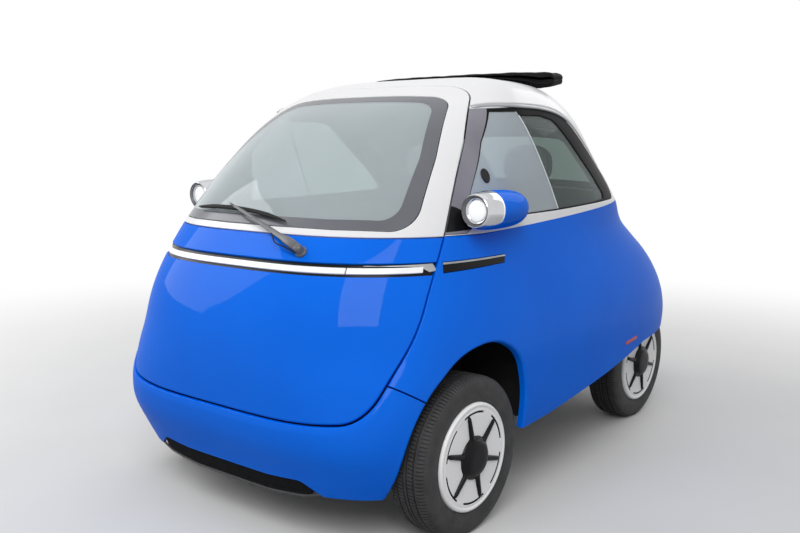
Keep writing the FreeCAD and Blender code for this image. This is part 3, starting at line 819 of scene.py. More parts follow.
def tube(path, radius, sides=12, close=False):
    """Round bar along a path; radius may be one number or one for each point."""
    path = np.asarray(path, float)
    r = np.broadcast_to(radius, len(path))
    ahead = np.gradient(path, axis=0)
    if close:
        ahead = np.roll(path, -1, 0) - np.roll(path, 1, 0)
    ahead /= np.linalg.norm(ahead, axis=1)[:, None]
    side = np.cross(ahead[0], (0.13, 0.2, 0.97))
    rings = []
    for p, a, rr in zip(path, ahead, r):
        side = side - a * (side @ a)
        side /= np.linalg.norm(side)
        rings.append(ring(p, side, np.cross(a, side), rr, rr, 2.0, sides))
    v, f = loft(rings, not close)
    if close:
        n = sides
        last = list(range((len(rings) - 1) * n, len(rings) * n))
        f += join(last, list(range(n)))
    return v, f


def solid(name, mesh, mat, body, slot_name, *nodes, sharp=40.0, subdivide=0):
    """A smooth-shaded piece with its hard edges kept."""
    v, f = mesh
    ob = add_object(name, v, f, [mat] if isinstance(mat, str) else mat)
    bm = bmesh.new()
    bm.from_mesh(ob.data)
    bmesh.ops.remove_doubles(bm, verts=bm.verts, dist=1e-6)
    bmesh.ops.recalc_face_normals(bm, faces=bm.faces)
    bm.to_mesh(ob.data)
    bm.free()
    ob.data.set_sharp_from_angle(angle=math.radians(sharp))
    if subdivide:
        ob.modifiers.new("smooth", "SUBSURF").levels = subdivide
        ob.modifiers["smooth"].render_levels = subdivide
    return settle(ob, body, slot_name, *nodes)


# ------------------------------------------------------------------ outlines on the body
# x, y, z, radius of each corner of the left half
DOOR_EDGE = [(400, 385, 1446, 105), (525, 168, 1261, 250), (598, -31, 968, 900),
             (628, -200, 690, 400), (575, -388, 442, 150)]
GLASS_EDGE = [(385, 275, 1412, 70), (486, 66, 1202, 250), (543, -114, 986, 100),
              (330, -240, 990, 500), (110, -273, 991, 900)]
CLEAR_EDGE = [(347, 240, 1386, 70), (446, 38, 1202, 250), (494, -140, 1018, 75),
              (300, -244, 1021, 500), (100, -268, 1022, 900)]
HATCH_EDGE = [(400, 1190, 1345, 70), (520, 1430, 1030, 300), (560, 1760, 860, 300),
              (560, 2010, 640, 90)]
REAR_GLASS_EDGE = [(370, 1225, 1300, 70), (460, 1420, 1075, 80)]
# y, z, radius
WINDOW = [(-90, 972, 0), (60, 974, 20), (112, 1011, 20), (402, 1017, 0), (580, 1020, 0),
          (843, 1029, 0), (1222, 1041, 30), (1120, 1146, 300), (954, 1238, 400),
          (838, 1311, 300), (745, 1359, 90), (645, 1373, 100), (430, 1374, 200),
          (200, 1360, 0), (100, 1200, 0), (20, 1086, 0)]
SIDE_GLASS = [(86, 1019, 4), (402, 1022, 0), (580, 1026, 0), (843, 1035, 0), (1048, 1045, 15),
              (1020, 1072, 150), (931, 1147, 400), (840, 1211, 400), (727, 1293, 300),
              (660, 1338, 90), (570, 1350, 100), (432, 1347, 0), (427, 1359, 0),
              (316, 1356, 3), (222, 1256, 0), (182, 1196, 0), (141, 1140, 0), (112, 1102, 0)]
ARCH = [(-287, 130, 0), (-287, 375, 300), (-205, 505, 330), (-60, 617, 300),
        (110, 642, 220), (238, 572, 160), (280, 440, 300), (280, 130, 0)]
UNDERSIDE = [(270, 130, 0), (270, 293, 0), (460, 309, 0), (890, 368, 200), (1180, 412, 0),
             (1300, 430, 40), (1840, 430, 60), (1900, 350, 60), (1985, 350, 0),
             (1930, 250, 0), (1800, 135, 0)]
TRIM = [(-66, 862, 0), (216, 872, 4), (223, 899, 4), (-58, 895, 0)]
DIVIDE = [(427, 1359), (566, 1105), (609, 1026)]
GAP = 2.6               # half of each shut line
# low and high edges of the front light bar, its lit strip and the rear bar
BAR, LED, REAR_BAR = (859.0, 896.0), (868.0, 885.5), (742.0, 776.0)
BEHIND = (math.pi + 0.3, 2 * math.pi - 0.3)     # angles of what shows from behind


def ring_at(z, start, end, count=80):
    """Points round the body at height z; the angle runs from the left side over the nose."""
    t = float(level(z))
    w, f, r = (float(np.interp(t, T, c)) for c in (HALF, NOSE, TAIL))
    mid = WAIST + WAIST_RISE * min(max((z - SHOULDER) / (TOP - SHOULDER), 0), 1)
    a = np.linspace(start, end, count)
    c, s = np.cos(a), np.sin(a)
    n = np.where(s > 0, np.interp(t, T, SQUARE), np.interp(t, T, SQUARE_TAIL))
    x = w * np.sign(c) * np.abs(c) ** (2 / n)
    y = mid + np.where(s > 0, f - mid, mid - r) * np.sign(s) * np.abs(s) ** (2 / n)
    return np.stack([x, y, np.full(count, z)], 1)


def zone(low, high, start=0.02, end=math.pi - 0.02, count=90):
    """Closed outline of the body between two heights, from one angle round to another."""
    rise = np.linspace(low, high, 12)[1:-1]
    a = ring_at(low, start, end, count)
    b = ring_at(high, start, end, count)
    up = np.concatenate([ring_at(z, end, end, 1) for z in rise])
    down = np.concatenate([ring_at(z, start, start, 1) for z in rise[::-1]])
    return np.concatenate([a, up, b[::-1], down])


def left_part(loop):
    return loop[loop[:, 0] > 0]


def mirrored(loop):
    return (loop * (-1, 1, 1))[::-1]


door_edge, glass_edge, clear_edge = (DOOR_VIEW.outline(half)
                                     for half in (DOOR_EDGE, GLASS_EDGE, CLEAR_EDGE))
hatch_edge, rear_glass_edge = (REAR_VIEW.outline(half)
                               for half in (HATCH_EDGE, REAR_GLASS_EDGE))
window_edge, side_glass_edge, arch_edge, underside_edge = (
    side_loop(corners) for corners in (WINDOW, SIDE_GLASS, ARCH, UNDERSIDE))
roof_opening_edge = top_loop([(385, 800, 30), (385, 548, 60)])
door_hole, door_form = shift_loop(door_edge, GAP), shift_loop(door_edge, -GAP)
hatch_hole, hatch_form = shift_loop(hatch_edge, GAP), shift_loop(hatch_edge, -GAP)
door_flank = left_part(door_hole)

# ------------------------------------------------------------------ front door
FLARE = 9.0             # how far the wings and bumper stand out past the door's edge


def near(points, loop, chunk=2000):
    """Distance from each point to a closed outline's points."""
    d = [np.linalg.norm(points[k:k + chunk, None] - loop[None], axis=2).min(1)
         for k in range(0, len(points), chunk)]
    return np.concatenate(d)


def smooth_step(x, low, high):
    t = np.clip((x - low) / (high - low), 0, 1)
    return t * t * (3 - 2 * t)


def flare(points):
    """Quarter-round shoulder beside the lower door edge that fades into the body."""
    d = near(points, door_hole)
    round_up = np.sqrt(1 - (1 - np.clip(d / 26.0, 0, 1)) ** 2)
    fade = 1 - smooth_step(d, 60, 190)
    return FLARE * round_up * fade * (1 - smooth_step(points[:, 2], 560, 820))


def door_roll(edge):
    """The door's skin turns in softly along its lower edge."""
    return 3.0 + 6.0 * (1 - smooth_step(edge[:, 2], 480, 700))


def glazing(pane, name, cad_node, view, edge, clear, glass, frit, step):
    """A pane, the band printed round it and its rubber seal."""
    panel_object(pane, glass, "clear_glass", cad_node, view, [edge], step=step + 4, roll=1.0,
                 depth=4.0, sink=2.0)
    panel_object(name + "_band", frit, "black_gloss", "", view, [shift_loop(edge, -1)],
                 [clear], step=step, roll=0.4, depth=1.0, sink=1.4)
    panel_object(name + "_seal", "rubber_seal", "black_trim", "", view,
                 [shift_loop(edge, 9)], [shift_loop(edge, -7)], step=step, roll=1.0,
                 depth=8.0, sink=6.4)


def front_door():
    panel_object("door_skin", "blue_paint cabin_trim", "blue_paint", "front_door_panel",
                 DOOR_VIEW, [door_form, zone(300, BELT - 1.5)], [zone(*BAR)], step=17,
                 roll=door_roll)
    panel_object("door_white_frame", "white_paint cabin_trim", "white_paint", "door_frame",
                 DOOR_VIEW, [door_form, zone(BELT + 1.5, 1475)],
                 [shift_loop(glass_edge, 3)], step=17, roll=3.0)
    # the windscreen's band is frit: real print, its grey a painted reflection
    glazing("windscreen_glass", "windscreen", "windscreen", DOOR_VIEW, glass_edge,
            clear_edge, "screen_glass", "frit", 20)
    panel_object("light_bar_bed", "black_gloss", "black_trim", "front_light_bar", DOOR_VIEW,
                 [shift_loop(door_edge, -GAP - 1), zone(BAR[0] - 4, BAR[1] + 4)], step=16,
                 roll=0.8, depth=10.0, sink=9.0)


# ------------------------------------------------------------------ fixed body
def arch_roll(edge):
    """Edges of the front wheel arch get a broad rolled lip."""
    return np.where(near(edge, arch_edge) < 4, 9.0, SKIN_ROLL)


def body_sides():
    side = straight((-166, 140), (1660, 140), (1660, 620), (1960, 620), (1545, 970),
                    (1470, 1029), (1300, 1029), (723, 1002), (371, 984), (110, 969),
                    (-250, 969), (-310, 880), (-430, 700), (-440, 637), (-262, 525),
                    (-166, 463))
    cutters = [door_flank, arch_edge, underside_edge, left_part(hatch_hole), side_loop(TRIM)]
    on_flanks(("side_skin", "blue_paint under_paint", "blue_paint", "body_side_*", [side],
               cutters, dict(step=19, roll=arch_roll, lift=flare)))


MOUTH = [(-416, 120, 0), (-404, 181, 10), (-340, 225, 60), (-200, 215, 300),
         (200, 215, 300), (340, 225, 60), (404, 181, 10), (416, 120, 0)]
GRILLE = [(-405, 187, 0), (-338, 229, 60), (-200, 219, 300), (200, 219, 300),
          (338, 229, 60), (405, 187, 0), (340, 167, 80), (180, 153, 300), (-180, 153, 300),
          (-340, 167, 80)]


def front_bumper():
    chin = zone(178, 600, 0.22, math.pi - 0.22)
    wheel = arch_edge[arch_edge[:, 1] < 60]
    wing = straight((-440, 632), (-262, 520), (-166, 458), (40, 325), (40, 700), (-430, 700))
    cutters = [door_hole[door_hole[:, 2] < 700], wheel, mirrored(wheel), wing,
               mirrored(wing), nose_loop(MOUTH)]
    panel_object("bumper_skin", "blue_paint under_paint", "blue_paint", "front_bumper",
                 CHIN_VIEW, [chin], cutters, step=17, roll=arch_roll, depth=11.0, lift=flare)
    bed = nose_loop(GRILLE)
    panel_object("grille_bed", "black_plastic", "black_trim", "bumper_grille", CHIN_VIEW,
                 [bed], step=20, roll=1.0, depth=6.0, sink=16.0)
    fins = []
    for x in np.arange(-360.0, 361.0, 9.0):
        cut = bed[np.abs(bed[:, 0] - x) < 12]
        low, high = cut[:, 2].min(), cut[:, 2].max()
        z = np.linspace(low + 2, high - 1, 6)
        face = on_body(np.stack([np.full(6, x), z], 1), 1, 300.0, -900.0)
        fins.append(loft([ring(p - m * 9, (1, 0, 0), m, 1.6, 6.5, 4.0, 8)
                          for p, m in zip(face, normals(face))]))
    solid("grille_fins", merge(*fins), "black_plastic", "body", "black_trim")
    lip = bed[bed[:, 2] < 186]
    lip = lip[np.argsort(lip[:, 0])]
    solid("grille_lip", tube(lip - normals(lip) * 3, 4.0, 8), "dark_trim", "body",
          "black_trim")


def rear_bumper():
    ahead = straight((1664, 140), (1664, 625), (1060, 625), (1060, 140))
    under = underside_edge[underside_edge[:, 1] > 1280]
    cutters = [hatch_hole[hatch_hole[:, 2] < 900], ahead, mirrored(ahead), under,
               mirrored(under)]
    panel_object("tail_bumper_skin", "blue_paint under_paint", "blue_paint", "rear_bumper",
                 TAIL_VIEW, [zone(351, 614, *BEHIND)], cutters, step=22)


def upper_band():
    """Lower edge of the white upper body, right round."""
    left = straight((-200, 971), (110, 971), (266, 977), (412, 981), (613, 991), (836, 1005),
                    (1300, 1031), (1440, 1031), (1300, 1200), (0, 1200))
    low = left[left[:, 2] < 1034]
    low = low[np.argsort(low[:, 1])]
    return np.concatenate([low, mirrored(low)])


def roof():
    cutters = [door_hole, window_edge, mirrored(window_edge), roof_opening_edge, hatch_hole]
    panel_object("roof_skin", "white_paint cabin_trim", "white_paint", "roof_shell",
                 ROOF_VIEW, [upper_band()], cutters, step=26)


def side_windows():
    """Corner panel in a grey painted as the sky it mirrors, black seal all round, a fixed and a
    sliding pane, and a painted highlight on the pane edge.
    """
    whole = shift_loop(window_edge, -1.5)
    corner = straight((-140, 950), (104, 950), (107, 1096), (178, 1196), (218, 1256),
                      (318, 1366), (200, 1400), (-60, 1150))
    front_part = straight((40, 990), (40, 1110), (290, 1400), (404, 1400), *DIVIDE,
                          (629, 990))
    rear_part = straight((404, 1400), *DIVIDE, (629, 990), (1200, 990), (1200, 1400))
    line = straight((424, 1362), (564, 1105), (606, 1025), (611, 1025), (569, 1106),
                    (429, 1362))
    sail = side_loop([(114, 1104, 0), (211, 1238, 0), (262, 1080, 30), (250, 1024, 0),
                      (90, 1024, 0)])
    dark_corner = side_loop([(112, 1100, 0), (151, 1156, 0), (163, 1108, 10),
                             (172, 1024, 0), (90, 1024, 0)])
    turn = np.linspace(0, 2 * math.pi, 25)[:-1]
    knob = side_loop([(189 + 17 * math.cos(a), 1150 + 23 * math.sin(a), 0) for a in turn], 9)
    pane = shift_loop(side_glass_edge, 5)
    # name, material, slot, CAD node, outlines, cut-outs, sink, roll and depth
    rows = [
        ("window_seal", "frit_dark", "black_gloss", "window_frames", [whole],
         [corner, side_glass_edge, door_flank], 2.0, 1.5, 22.0),
        ("corner_panel", "pillar_gloss", "black_gloss", "", [whole, corner], [door_flank],
         1.0, 1.5, 22.0),
        ("pane_front", "vent_glass", "clear_glass", "", [pane, front_part], [], 4.0, 0.8, 4.0),
        ("pane_rear", "side_glass", "clear_glass", "side_glass", [pane, rear_part], [],
         6.0, 0.8, 4.0),
        # pane_edge: a painted highlight along the edge where the two panes meet
        ("pane_edge", "pale_edge", "clear_glass", "", [line], [], 2.6, 0.6, 3.0),
        ("sail", "sail_grey", "black_trim", "", [sail], [dark_corner], 13.0, 1.0, 5.0),
        # the sail's corner takes the same painted reflection grey
        ("sail_base", "pillar_gloss", "black_trim", "", [dark_corner], [], 12.5, 1.0, 5.0),
        ("pane_latch", "black_plastic", "black_trim", "", [knob], [], 0.0, 3.0, 9.0),
    ]
    on_flanks(*((*row[:6], dict(step=19, sink=row[6], roll=row[7], depth=row[8]))
                for row in rows))


def tailgate():
    panel_object("tailgate_skin", "blue_paint cabin_trim", "blue_paint", "hatch_panel",
                 REAR_VIEW, [hatch_form, zone(560, TAIL_BELT - 1.5, *BEHIND)],
                 [zone(*REAR_BAR, *BEHIND)], step=22, roll=3.0)
    panel_object("tailgate_white_frame", "white_paint cabin_trim", "white_paint",
                 "hatch_frame", REAR_VIEW, [hatch_form, zone(TAIL_BELT + 1.5, 1400, *BEHIND)],
                 [shift_loop(rear_glass_edge, 3)], step=20, roll=3.0)
    glazing("rear_window", "rear_window", "rear_glass", REAR_VIEW, rear_glass_edge,
            shift_loop(rear_glass_edge, -26), "side_glass", "frit_dark", 22)
    lens = [shift_loop(hatch_edge, -GAP - 1), zone(REAR_BAR[0] + 2, REAR_BAR[1] - 2, *BEHIND)]
    # name, material, slot, CAD node, outlines, cut-outs, step, roll, depth and height above
    for name, mat, slot_name, cad_node, plus, minus, step, roll, depth, proud in (
            ("rear_lamp_lens", "red_lens", "black_trim", "rear_light_bar", lens, [],
             18, 2.5, 10.0, 1.0),
            ("plate_holder", "black_plastic", "black_trim", "",
             [rear_patch(228, 50, 688, 14)], [rear_patch(218, 41, 688, 8)], 14, 2.5, 6.0, 3.0),
            ("rear_plate", "plate_blank", "white_paint", "", [rear_patch(219, 42, 688, 8)],
             [], 16, 1.0, 5.0, 1.5),
            ("tailgate_pull", "black_gloss", "black_trim", "", [rear_patch(75, 11, 800, 10)],
             [], 10, 3.0, 9.0, 5.0)):
        panel_object(name, mat, slot_name, cad_node, REAR_VIEW, plus, minus, step=step,
                     roll=roll, depth=depth, sink=-proud)


def rear_patch(half_width, half_height, z, radius):
    """Rounded rectangle on the tailgate, centred on the car."""
    tail = float(np.interp(level(z), T, TAIL))
    return REAR_VIEW.outline([(half_width, tail, z + half_height, radius),
                              (half_width, tail, z - half_height, radius)])


# ------------------------------------------------------------------ lamps and trims
def turn_to(x, z):
    """Angle round the nose at which the body at height z is x wide."""
    t = float(level(z))
    n = float(np.interp(t, T, SQUARE))
    return math.acos((x / float(np.interp(t, T, HALF))) ** (n / 2))


def light_bar():
    joint, end = turn_to(427, 877), turn_to(591, 877)
    parts = [("left", end, joint - 0.003), ("middle", joint + 0.003, math.pi - joint - 0.003),
             ("right", math.pi - joint + 0.003, math.pi - end)]
    for name, a, b in parts:
        panel_object("light_strip_" + name, "led_white", "lamp_glass", "", DOOR_VIEW,
                     [zone(*LED, a, b)], step=14, roll=2.5, depth=9.0, sink=2.5)
    tail = side_loop([(-260, 891, 0), (-90, 894, 0), (-82, 872, 0), (-108, 869, 0),
                      (-132, 886, 6), (-200, 889, 0)])
    for name, loop in (("left", tail), ("right", mirrored(tail))):
        panel_object("light_bar_end_" + name, "brushed_steel", "chrome", "", DOOR_VIEW,
                     [loop], step=14, roll=1.0, depth=8.0, sink=3.5)


def side_trims():
    bevel = straight((-60, 887), (219, 892), (221, 897.5), (-57, 893.5))
    on_flanks(("trim", "black_gloss", "black_trim", "side_trims",
               [shift_loop(side_loop(TRIM), -1.5)], [],
               dict(step=14, roll=1.5, depth=12.0, sink=1.0)),
              ("trim_edge", "brushed_steel", "chrome", "", [bevel], [],
               dict(step=12, roll=1.2, depth=4.0, sink=-1.2)))


def reflectors():
    red = side_loop([(1072, 452, 3), (1196, 458, 3), (1196, 472, 3), (1072, 466, 3)])
    on_flanks(("reflector", "red_lens", "black_trim", "", [red], [],
               dict(step=12, roll=1.5, depth=8.0, sink=-1.5)))


POD = np.array([670.0, 0.0, 1047.0])
# distance behind the pod's centre, radius
POD_SHAPE = [(25, 48.2), (24.2, 49.6), (25.5, 51.2), (34, 54.0), (48, 57.0), (66, 59.4),
             (84, 60.6), (102, 61.0), (130, 61.0), (160, 60.8), (190, 59.8), (215, 57.8),
             (235, 55.0), (252, 51.0), (266, 45.8), (277, 38.8), (285, 30.0), (289.5, 19.0),
             (291, 8.0), (291.2, 0.5)]
# distance behind the bezel's rim and radius of what is turned, by name: material, slot, sharp
POD_PARTS = [
    ("pod_ring_", "arm_grey", "black_trim", 60,
     [(-1.0, 48.4), (1.5, 47.0), (3.0, 45.2), (12, 42.8), (13, 40.5)]),
    ("pod_reflector_", "chrome", "chrome", 60,
     [(13, 40.6), (9, 39.4), (9.5, 36.5), (12, 34.0), (13, 31.5)]),
    ("pod_lamp_", "lamp_white", "lamp_glass", 50,
     [(13, 32.0), (9.5, 30.5), (8, 25), (7, 16), (6.6, 6), (6.6, 0.05)]),
    ("pod_glass_", "lamp_glass", "lamp_glass", 40,
     [(2.6, 46.4), (1.2, 45.5), (-1.4, 38), (-3.4, 28), (-4.7, 16), (-5.2, 6), (-5.3, 0.05)]),
]


def lamp_pod(name, side):
    """Bright bezel in front and painted shell behind, which runs on below the bezel."""
    ys, rs = (np.array(c, float) for c in zip(*POD_SHAPE))
    front, back, steps = 14, 24, 96
    centre = POD * (side, 1, 1)
    verts = []
    length = np.concatenate([[0], np.cumsum(np.hypot(np.diff(ys), np.diff(rs)))])
    for t in np.arange(steps) * (2 * math.pi / steps):
        low = float(smooth_step(np.array(-math.sin(t)), 0.55, 0.98))
        split = float(np.interp(104 - 66 * low, ys, length))
        along = np.concatenate([np.linspace(0, split, front),
                                np.linspace(split, length[-1], back)])
        y, r = np.interp(along, length, ys), np.interp(along, length, rs)
        r[front - 1:front + 1] -= 0.7
        verts += [centre + (side * math.cos(t) * rr, yy, math.sin(t) * rr)
                  for yy, rr in zip(y, r)]
    flip = np.array(verts) * (side, 1, 1)
    for _ in range(6):
        inside = (body_value(flip) < 0.004) & (flip[:, 1] > 60)
        flip[inside, 0] += 3
    slots = ([0] * front + [1] * (back - 1)) * steps
    shell = add_object("pod_" + name, flip * (side, 1, 1), grid_faces(steps, front + back),
                       ["chrome", "blue_paint"], slots)
    settle(shell, "body", "chrome", *(["lamp_pods"] if side > 0 else []))
    for part, mat, slot_name, sharp, outline in POD_PARTS:
        cad_nodes = ["lamp_lenses"] if side > 0 and part == "pod_glass_" else []
        solid(part + name, lathe(outline, centre + (0, 25, 0), 72, axis=1), mat, "body",
              slot_name, *cad_nodes, sharp=sharp)
    foot = soft_box((594, 62, 1006), (640, 114, 1040), 0, 6, 4.0, 32)
    solid("pod_foot_" + name, flipped(foot, side), "black_gloss", "body", "black_trim")


def lamp_pods():
    for name, side in SIDES:
        lamp_pod(name, side)
    base = side_loop([(-78, 979, 0), (96, 986, 10), (118, 1012, 10), (30, 1062, 60),
                      (-22, 1058, 0)])
    on_flanks(("pod_base", "black_gloss", "black_gloss", "", [base], [door_flank],
               dict(step=14, roll=1.0, depth=3.0, sink=0.6)))


# ------------------------------------------------------------------ wiper
# share of the arm's length, half width, half height, height above the line
ARM = [(0.0, 11, 8, 0), (0.03, 14, 10, 2), (0.10, 14.5, 10.5, 4), (0.17, 13, 9, 4),
       (0.20, 11, 7, 3), (0.23, 9.5, 5, 2), (0.5, 7.5, 4, 6), (0.75, 6.0, 3.5, 7),
       (0.93, 4.5, 3, 5), (1.0, 3.5, 2.5, 1)]


def ahead_at(path, k):
    """Direction of a path at its point k."""
    return unit(path[min(k + 1, len(path) - 1)] - path[max(k - 1, 0)])


def wiper():
    pivot = np.array([268.0, -322.0, 923.0])
    out = normals(pivot[None])[0]
    heel = pivot + out * 24
    tip = np.array([-98.0, -262.0, 1036.0])
    head = tip + normals(cast([[-98.0, 400, 900]], tip[None]))[0] * 15
    collar = loft([ring(pivot + out * a, *frame_of(out), r, r, 2, 28)
                   for a, r in ((-6, 19), (2, 19), (4, 16), (12, 14), (26, 14), (30, 11),
                                (31.5, 5))])
    way = head - heel
    forward = unit(way)
    across = unit(np.cross(out, forward))
    arm = loft([ring(heel + way * share + out * (lift - 2), across, out, wide, high, 3.0, 20)
                for share, wide, high, lift in ARM])
    hook = tube([head + forward * a + out * b
                 for a, b in ((0, 2), (14, 4), (20, -6), (10, -13), (-4, -12))], 2.6, 10)
    solid("wiper_arm", merge(collar, arm, hook), "arm_grey", "front_door", "black_trim",
          "wiper", sharp=50)
    start, middle, end = np.array([[154.0, -270, 999], [-84, -262, 1026], [-342, -214, 1021]])
    s = np.linspace(0, 1, 40)[:, None]
    line = ((1 - s) ** 2 * start + 2 * s * (1 - s) * (2 * middle - 0.5 * (start + end))
            + s ** 2 * end)
    face = cast(line * (0.3, 0, 1) + (0, 400, 0), line)
    n = normals(face)
    bars = []
    for height, w, h in ((13, 7.0, 4.5), (6, 2.0, 6.0)):
        path = face + n * height
        rings = []
        for k, (p, m) in enumerate(zip(path, n)):
            thin = min(1.0, 0.35 + 0.09 * min(k, len(path) - 1 - k))
            rings.append(ring(p, np.cross(m, ahead_at(path, k)), m, w * thin, h * thin, 3.0,
                              12))
        bars.append(loft(rings))
    solid("wiper_blade", merge(*bars), "rubber_seal", "front_door", "black_trim", sharp=50)
    hose = [heel + way * share + across * a + out * b
            for share, a, b in ((0, 15, -10), (0.12, 20, -4), (0.24, 26, 0), (0.32, 14, 0),
                                (0.37, 6, 0))]
    solid("wiper_hose", tube(smooth_path(hose, 24), 2.2, 8), "rubber_seal", "front_door",
          "black_trim")


def frame_of(axis):
    """Two unit vectors square to an axis."""
    a = unit(np.cross(axis, (0.1, 0.3, 0.9)))
    return a, np.cross(axis, a)


def smooth_path(points, count):
    """Catmull-Rom curve through the points."""
    p = np.asarray(points, float)
    p = np.vstack([2 * p[0] - p[1], p, 2 * p[-1] - p[-2]])
    out = []
    for u in np.linspace(0, len(p) - 3 - 1e-6, count):
        k = int(u)
        t = u - k
        a, b, c, d = p[k:k + 4]
        out.append(0.5 * (2 * b + (c - a) * t + (2 * a - 5 * b + 4 * c - d) * t ** 2
                          + (3 * b - a - 3 * c + d) * t ** 3))
    return np.array(out)


# ------------------------------------------------------------------ roof
def gutters():
    """Drip rail above each side window: a white upper face over a grey lower one."""
    line = [(284, 1372), (345, 1380), (430, 1382), (580, 1381), (690, 1371), (775, 1350),
            (850, 1315), (960, 1246), (1090, 1170)]
    face = on_body(smooth_path(line, 80))
    low, high = [], []
    for k, (p, m) in enumerate(zip(face, normals(face))):
        up = np.cross(ahead_at(face, k), m)
        up *= math.copysign(1.0, up[2])
        thin = min(1.0, 0.7 + 0.15 * k, 0.12 + 0.022 * (len(face) - 1 - k))
        high.append(ring(p + up * 5.0 * thin, up, m, 6.0 * thin, 7.5 * thin, 3.0, 16))
        low.append(ring(p - up * 6.0 * thin, up, m, 7.0 * thin, 5.5 * thin, 3.0, 16))
    for name, side in SIDES:
        solid("gutter_" + name, flipped(loft(high), side), "white_paint", "body",
              "white_paint")
        solid("gutter_lip_" + name, flipped(loft(low), side), "rail_grey", "body", "chrome")


def folded_top():
    """Cloth roof folded in three behind the opening, its leading hem turned down."""
    # y, and height as a share of the whole stack
    layers = [(766, 0.70), (769, 0.93), (784, 1.0), (916, 1.0), (930, 0.80), (918, 0.56),
              (782, 0.52), (765, 0.30), (780, 0.04), (926, 0.0)]
    reach, round_from = 450.0, 436.0    # half width, and where its ends turn round
    ahead, across, middle = 764.0, 166.0, 855.0
    stations = np.concatenate([np.linspace(-1, -0.968, 9)[:-1], np.linspace(-0.968, 0.968, 58),
                               np.linspace(0.968, 1, 9)[1:]])
    path = [(y0 + (y1 - y0) * u, 100 * (s0 + (s1 - s0) * u))
            for (y0, s0), (y1, s1) in zip(layers, layers[1:])
            for u in np.linspace(0, 1, 9)[:-1]]
    path.append((layers[-1][0], 100 * layers[-1][1]))
    path = smooth_path(path, 150)
    verts = []
    for u in stations:
        x = reach * u
        corner = max(0.0, (abs(x) - 250) / 200.0)
        end = max(0.0, (abs(x) - round_from) / (reach - round_from))
        squeeze = math.sqrt(max(0.0, 1 - end ** 2))
        for y, s in path:
            back = 84 * corner ** 2.2 * (1 - (y - ahead) / across)
            centre = middle + back * 0.4
            yy = centre + (y + back - centre) * (0.86 + 0.14 * squeeze)
            roof_z = top_height(x, yy)
            low = roof_z + 4
            if abs(x) > 200:
                low = max(low, 1482 - 34 * (1 - (yy - ahead) / across))
            s = 0.52 + (s / 100 - 0.52) * squeeze
            z = low + (1520 - 2 * u * u - low) * s
            z += 1.2 * math.sin(0.045 * x + 0.09 * yy + 5 * s) * math.sin(0.021 * x + 2 * s)
            verts.append((x, yy, z))
    cloth = add_object("folded_roof_cloth", np.array(verts),
                       grid_faces(len(stations), len(path), closed=False), ["top_vinyl"])
    thick = cloth.modifiers.new("thick", "SOLIDIFY")
    thick.thickness = 0.0035
    thick.offset = 0
    settle(cloth, "body", "black_cloth", "soft_top")


def top_height(x, y):
    """Height of the roof's skin above a point in plan."""
    z = np.arange(1300.0, 1501.0, 1.0)
    p = np.stack([np.full_like(z, x), np.full_like(z, y), z], 1)
    inside = np.nonzero(body_value(p) < 0)[0]
    return float(z[inside[-1]]) if len(inside) else 1300.0


# ------------------------------------------------------------------ wheels
SPOKES = 6
# The profiles below are (distance out from the wheel's middle plane, radius).
TREAD = [(3, 266.6), (4, 259.5), (9, 259.5), (10, 266.6), (29, 266.3), (30, 259.5),
         (35, 259.5), (36, 266.1), (46, 265.3), (56, 263.2), (62, 259.0), (66, 252)]
WALL = [(66, 252), (69.5, 244), (71.8, 232), (72.2, 222), (71.6, 219), (72.0, 216),
        (71.2, 205), (69.2, 195), (68.4, 192), (68.6, 189), (66.5, 184), (62, 180.5),
        (54, 178)]
DISC = [(40, 181.5), (62, 181.5), (70, 180.5), (73.5, 178.5), (75.5, 175), (75.7, 171.5),
        (74.8, 168.5), (73.2, 166.5), (72.6, 164.5), (73.2, 162), (73.8, 158.5),
        (73.8, 154.6), (73.6, 152.8), (73.4, 151), (73.3, 149.4), (73.2, 147.8),
        (73.0, 130), (72.6, 112), (72.2, 90), (72, 60), (72, 20)]
BARREL = [(28, 183.5), (20, 176), (-20, 158), (-52, 158), (-60, 176), (-64, 184),
          (-66, 184), (-66, 178), (-56, 154), (20, 150), (30, 60), (30, 20)]
DOME = [(70, 73), (76, 72), (79.5, 68), (81.5, 63), (86, 60), (90, 55), (92, 47), (93, 30),
        (93, 12), (93, 0.01)]


def outward(profile, side):
    return [(side * a, r) for a, r in profile]


def tread(centre):
    """Three ribs and two shoulders, cut across by narrow slots."""
    across = outward(reversed(TREAD), -1) + TREAD
    blocks = 132
    pitch = 2 * math.pi / blocks
    verts = []
    for k in range(blocks):
        for part, deep in ((0.0, 0), (0.68, 0), (0.74, 1), (0.94, 1)):
            for a, r in across:
                slant = 0.35 * pitch * math.sin(a / 62 * 2.2)
                t = (k + part) * pitch + slant
                shoulder = 36 < abs(a) < 64 or 9 < abs(a) < 30
                r -= 4.5 if deep and shoulder else 0.0
                verts.append(centre + np.array([a, math.cos(t) * r, math.sin(t) * r]))
    return np.array(verts), grid_faces(blocks * 4, len(across))


def rim_disc(centre, side):
    """White wheel disc: a rounded lip, a shallow step, six slits with black floors as painted
    shade, and a flat middle.
    """
    steps = 180
    verts, slots = [], []
    for i in range(steps):
        t = 2 * math.pi * i / steps
        slit = 0.16 < (t * SPOKES / (2 * math.pi)) % 1.0 < 0.84
        for a, r in DISC:
            deep = 6.0 if slit and 149 < r < 153 else 0.0
            verts.append(centre + np.array([side * (a - deep), math.cos(t) * r,
                                            math.sin(t) * r]))
        # faces in the slits take black plastic: painted shade for the dark inside of each slit
        slit = 0.16 < (i * SPOKES / steps) % 1.0 < 0.84
        slots += [1 if slit and 149 < r < 156 else 0 for _, r in DISC[:-1]]
    return np.array(verts), grid_faces(steps, len(DISC)), slots


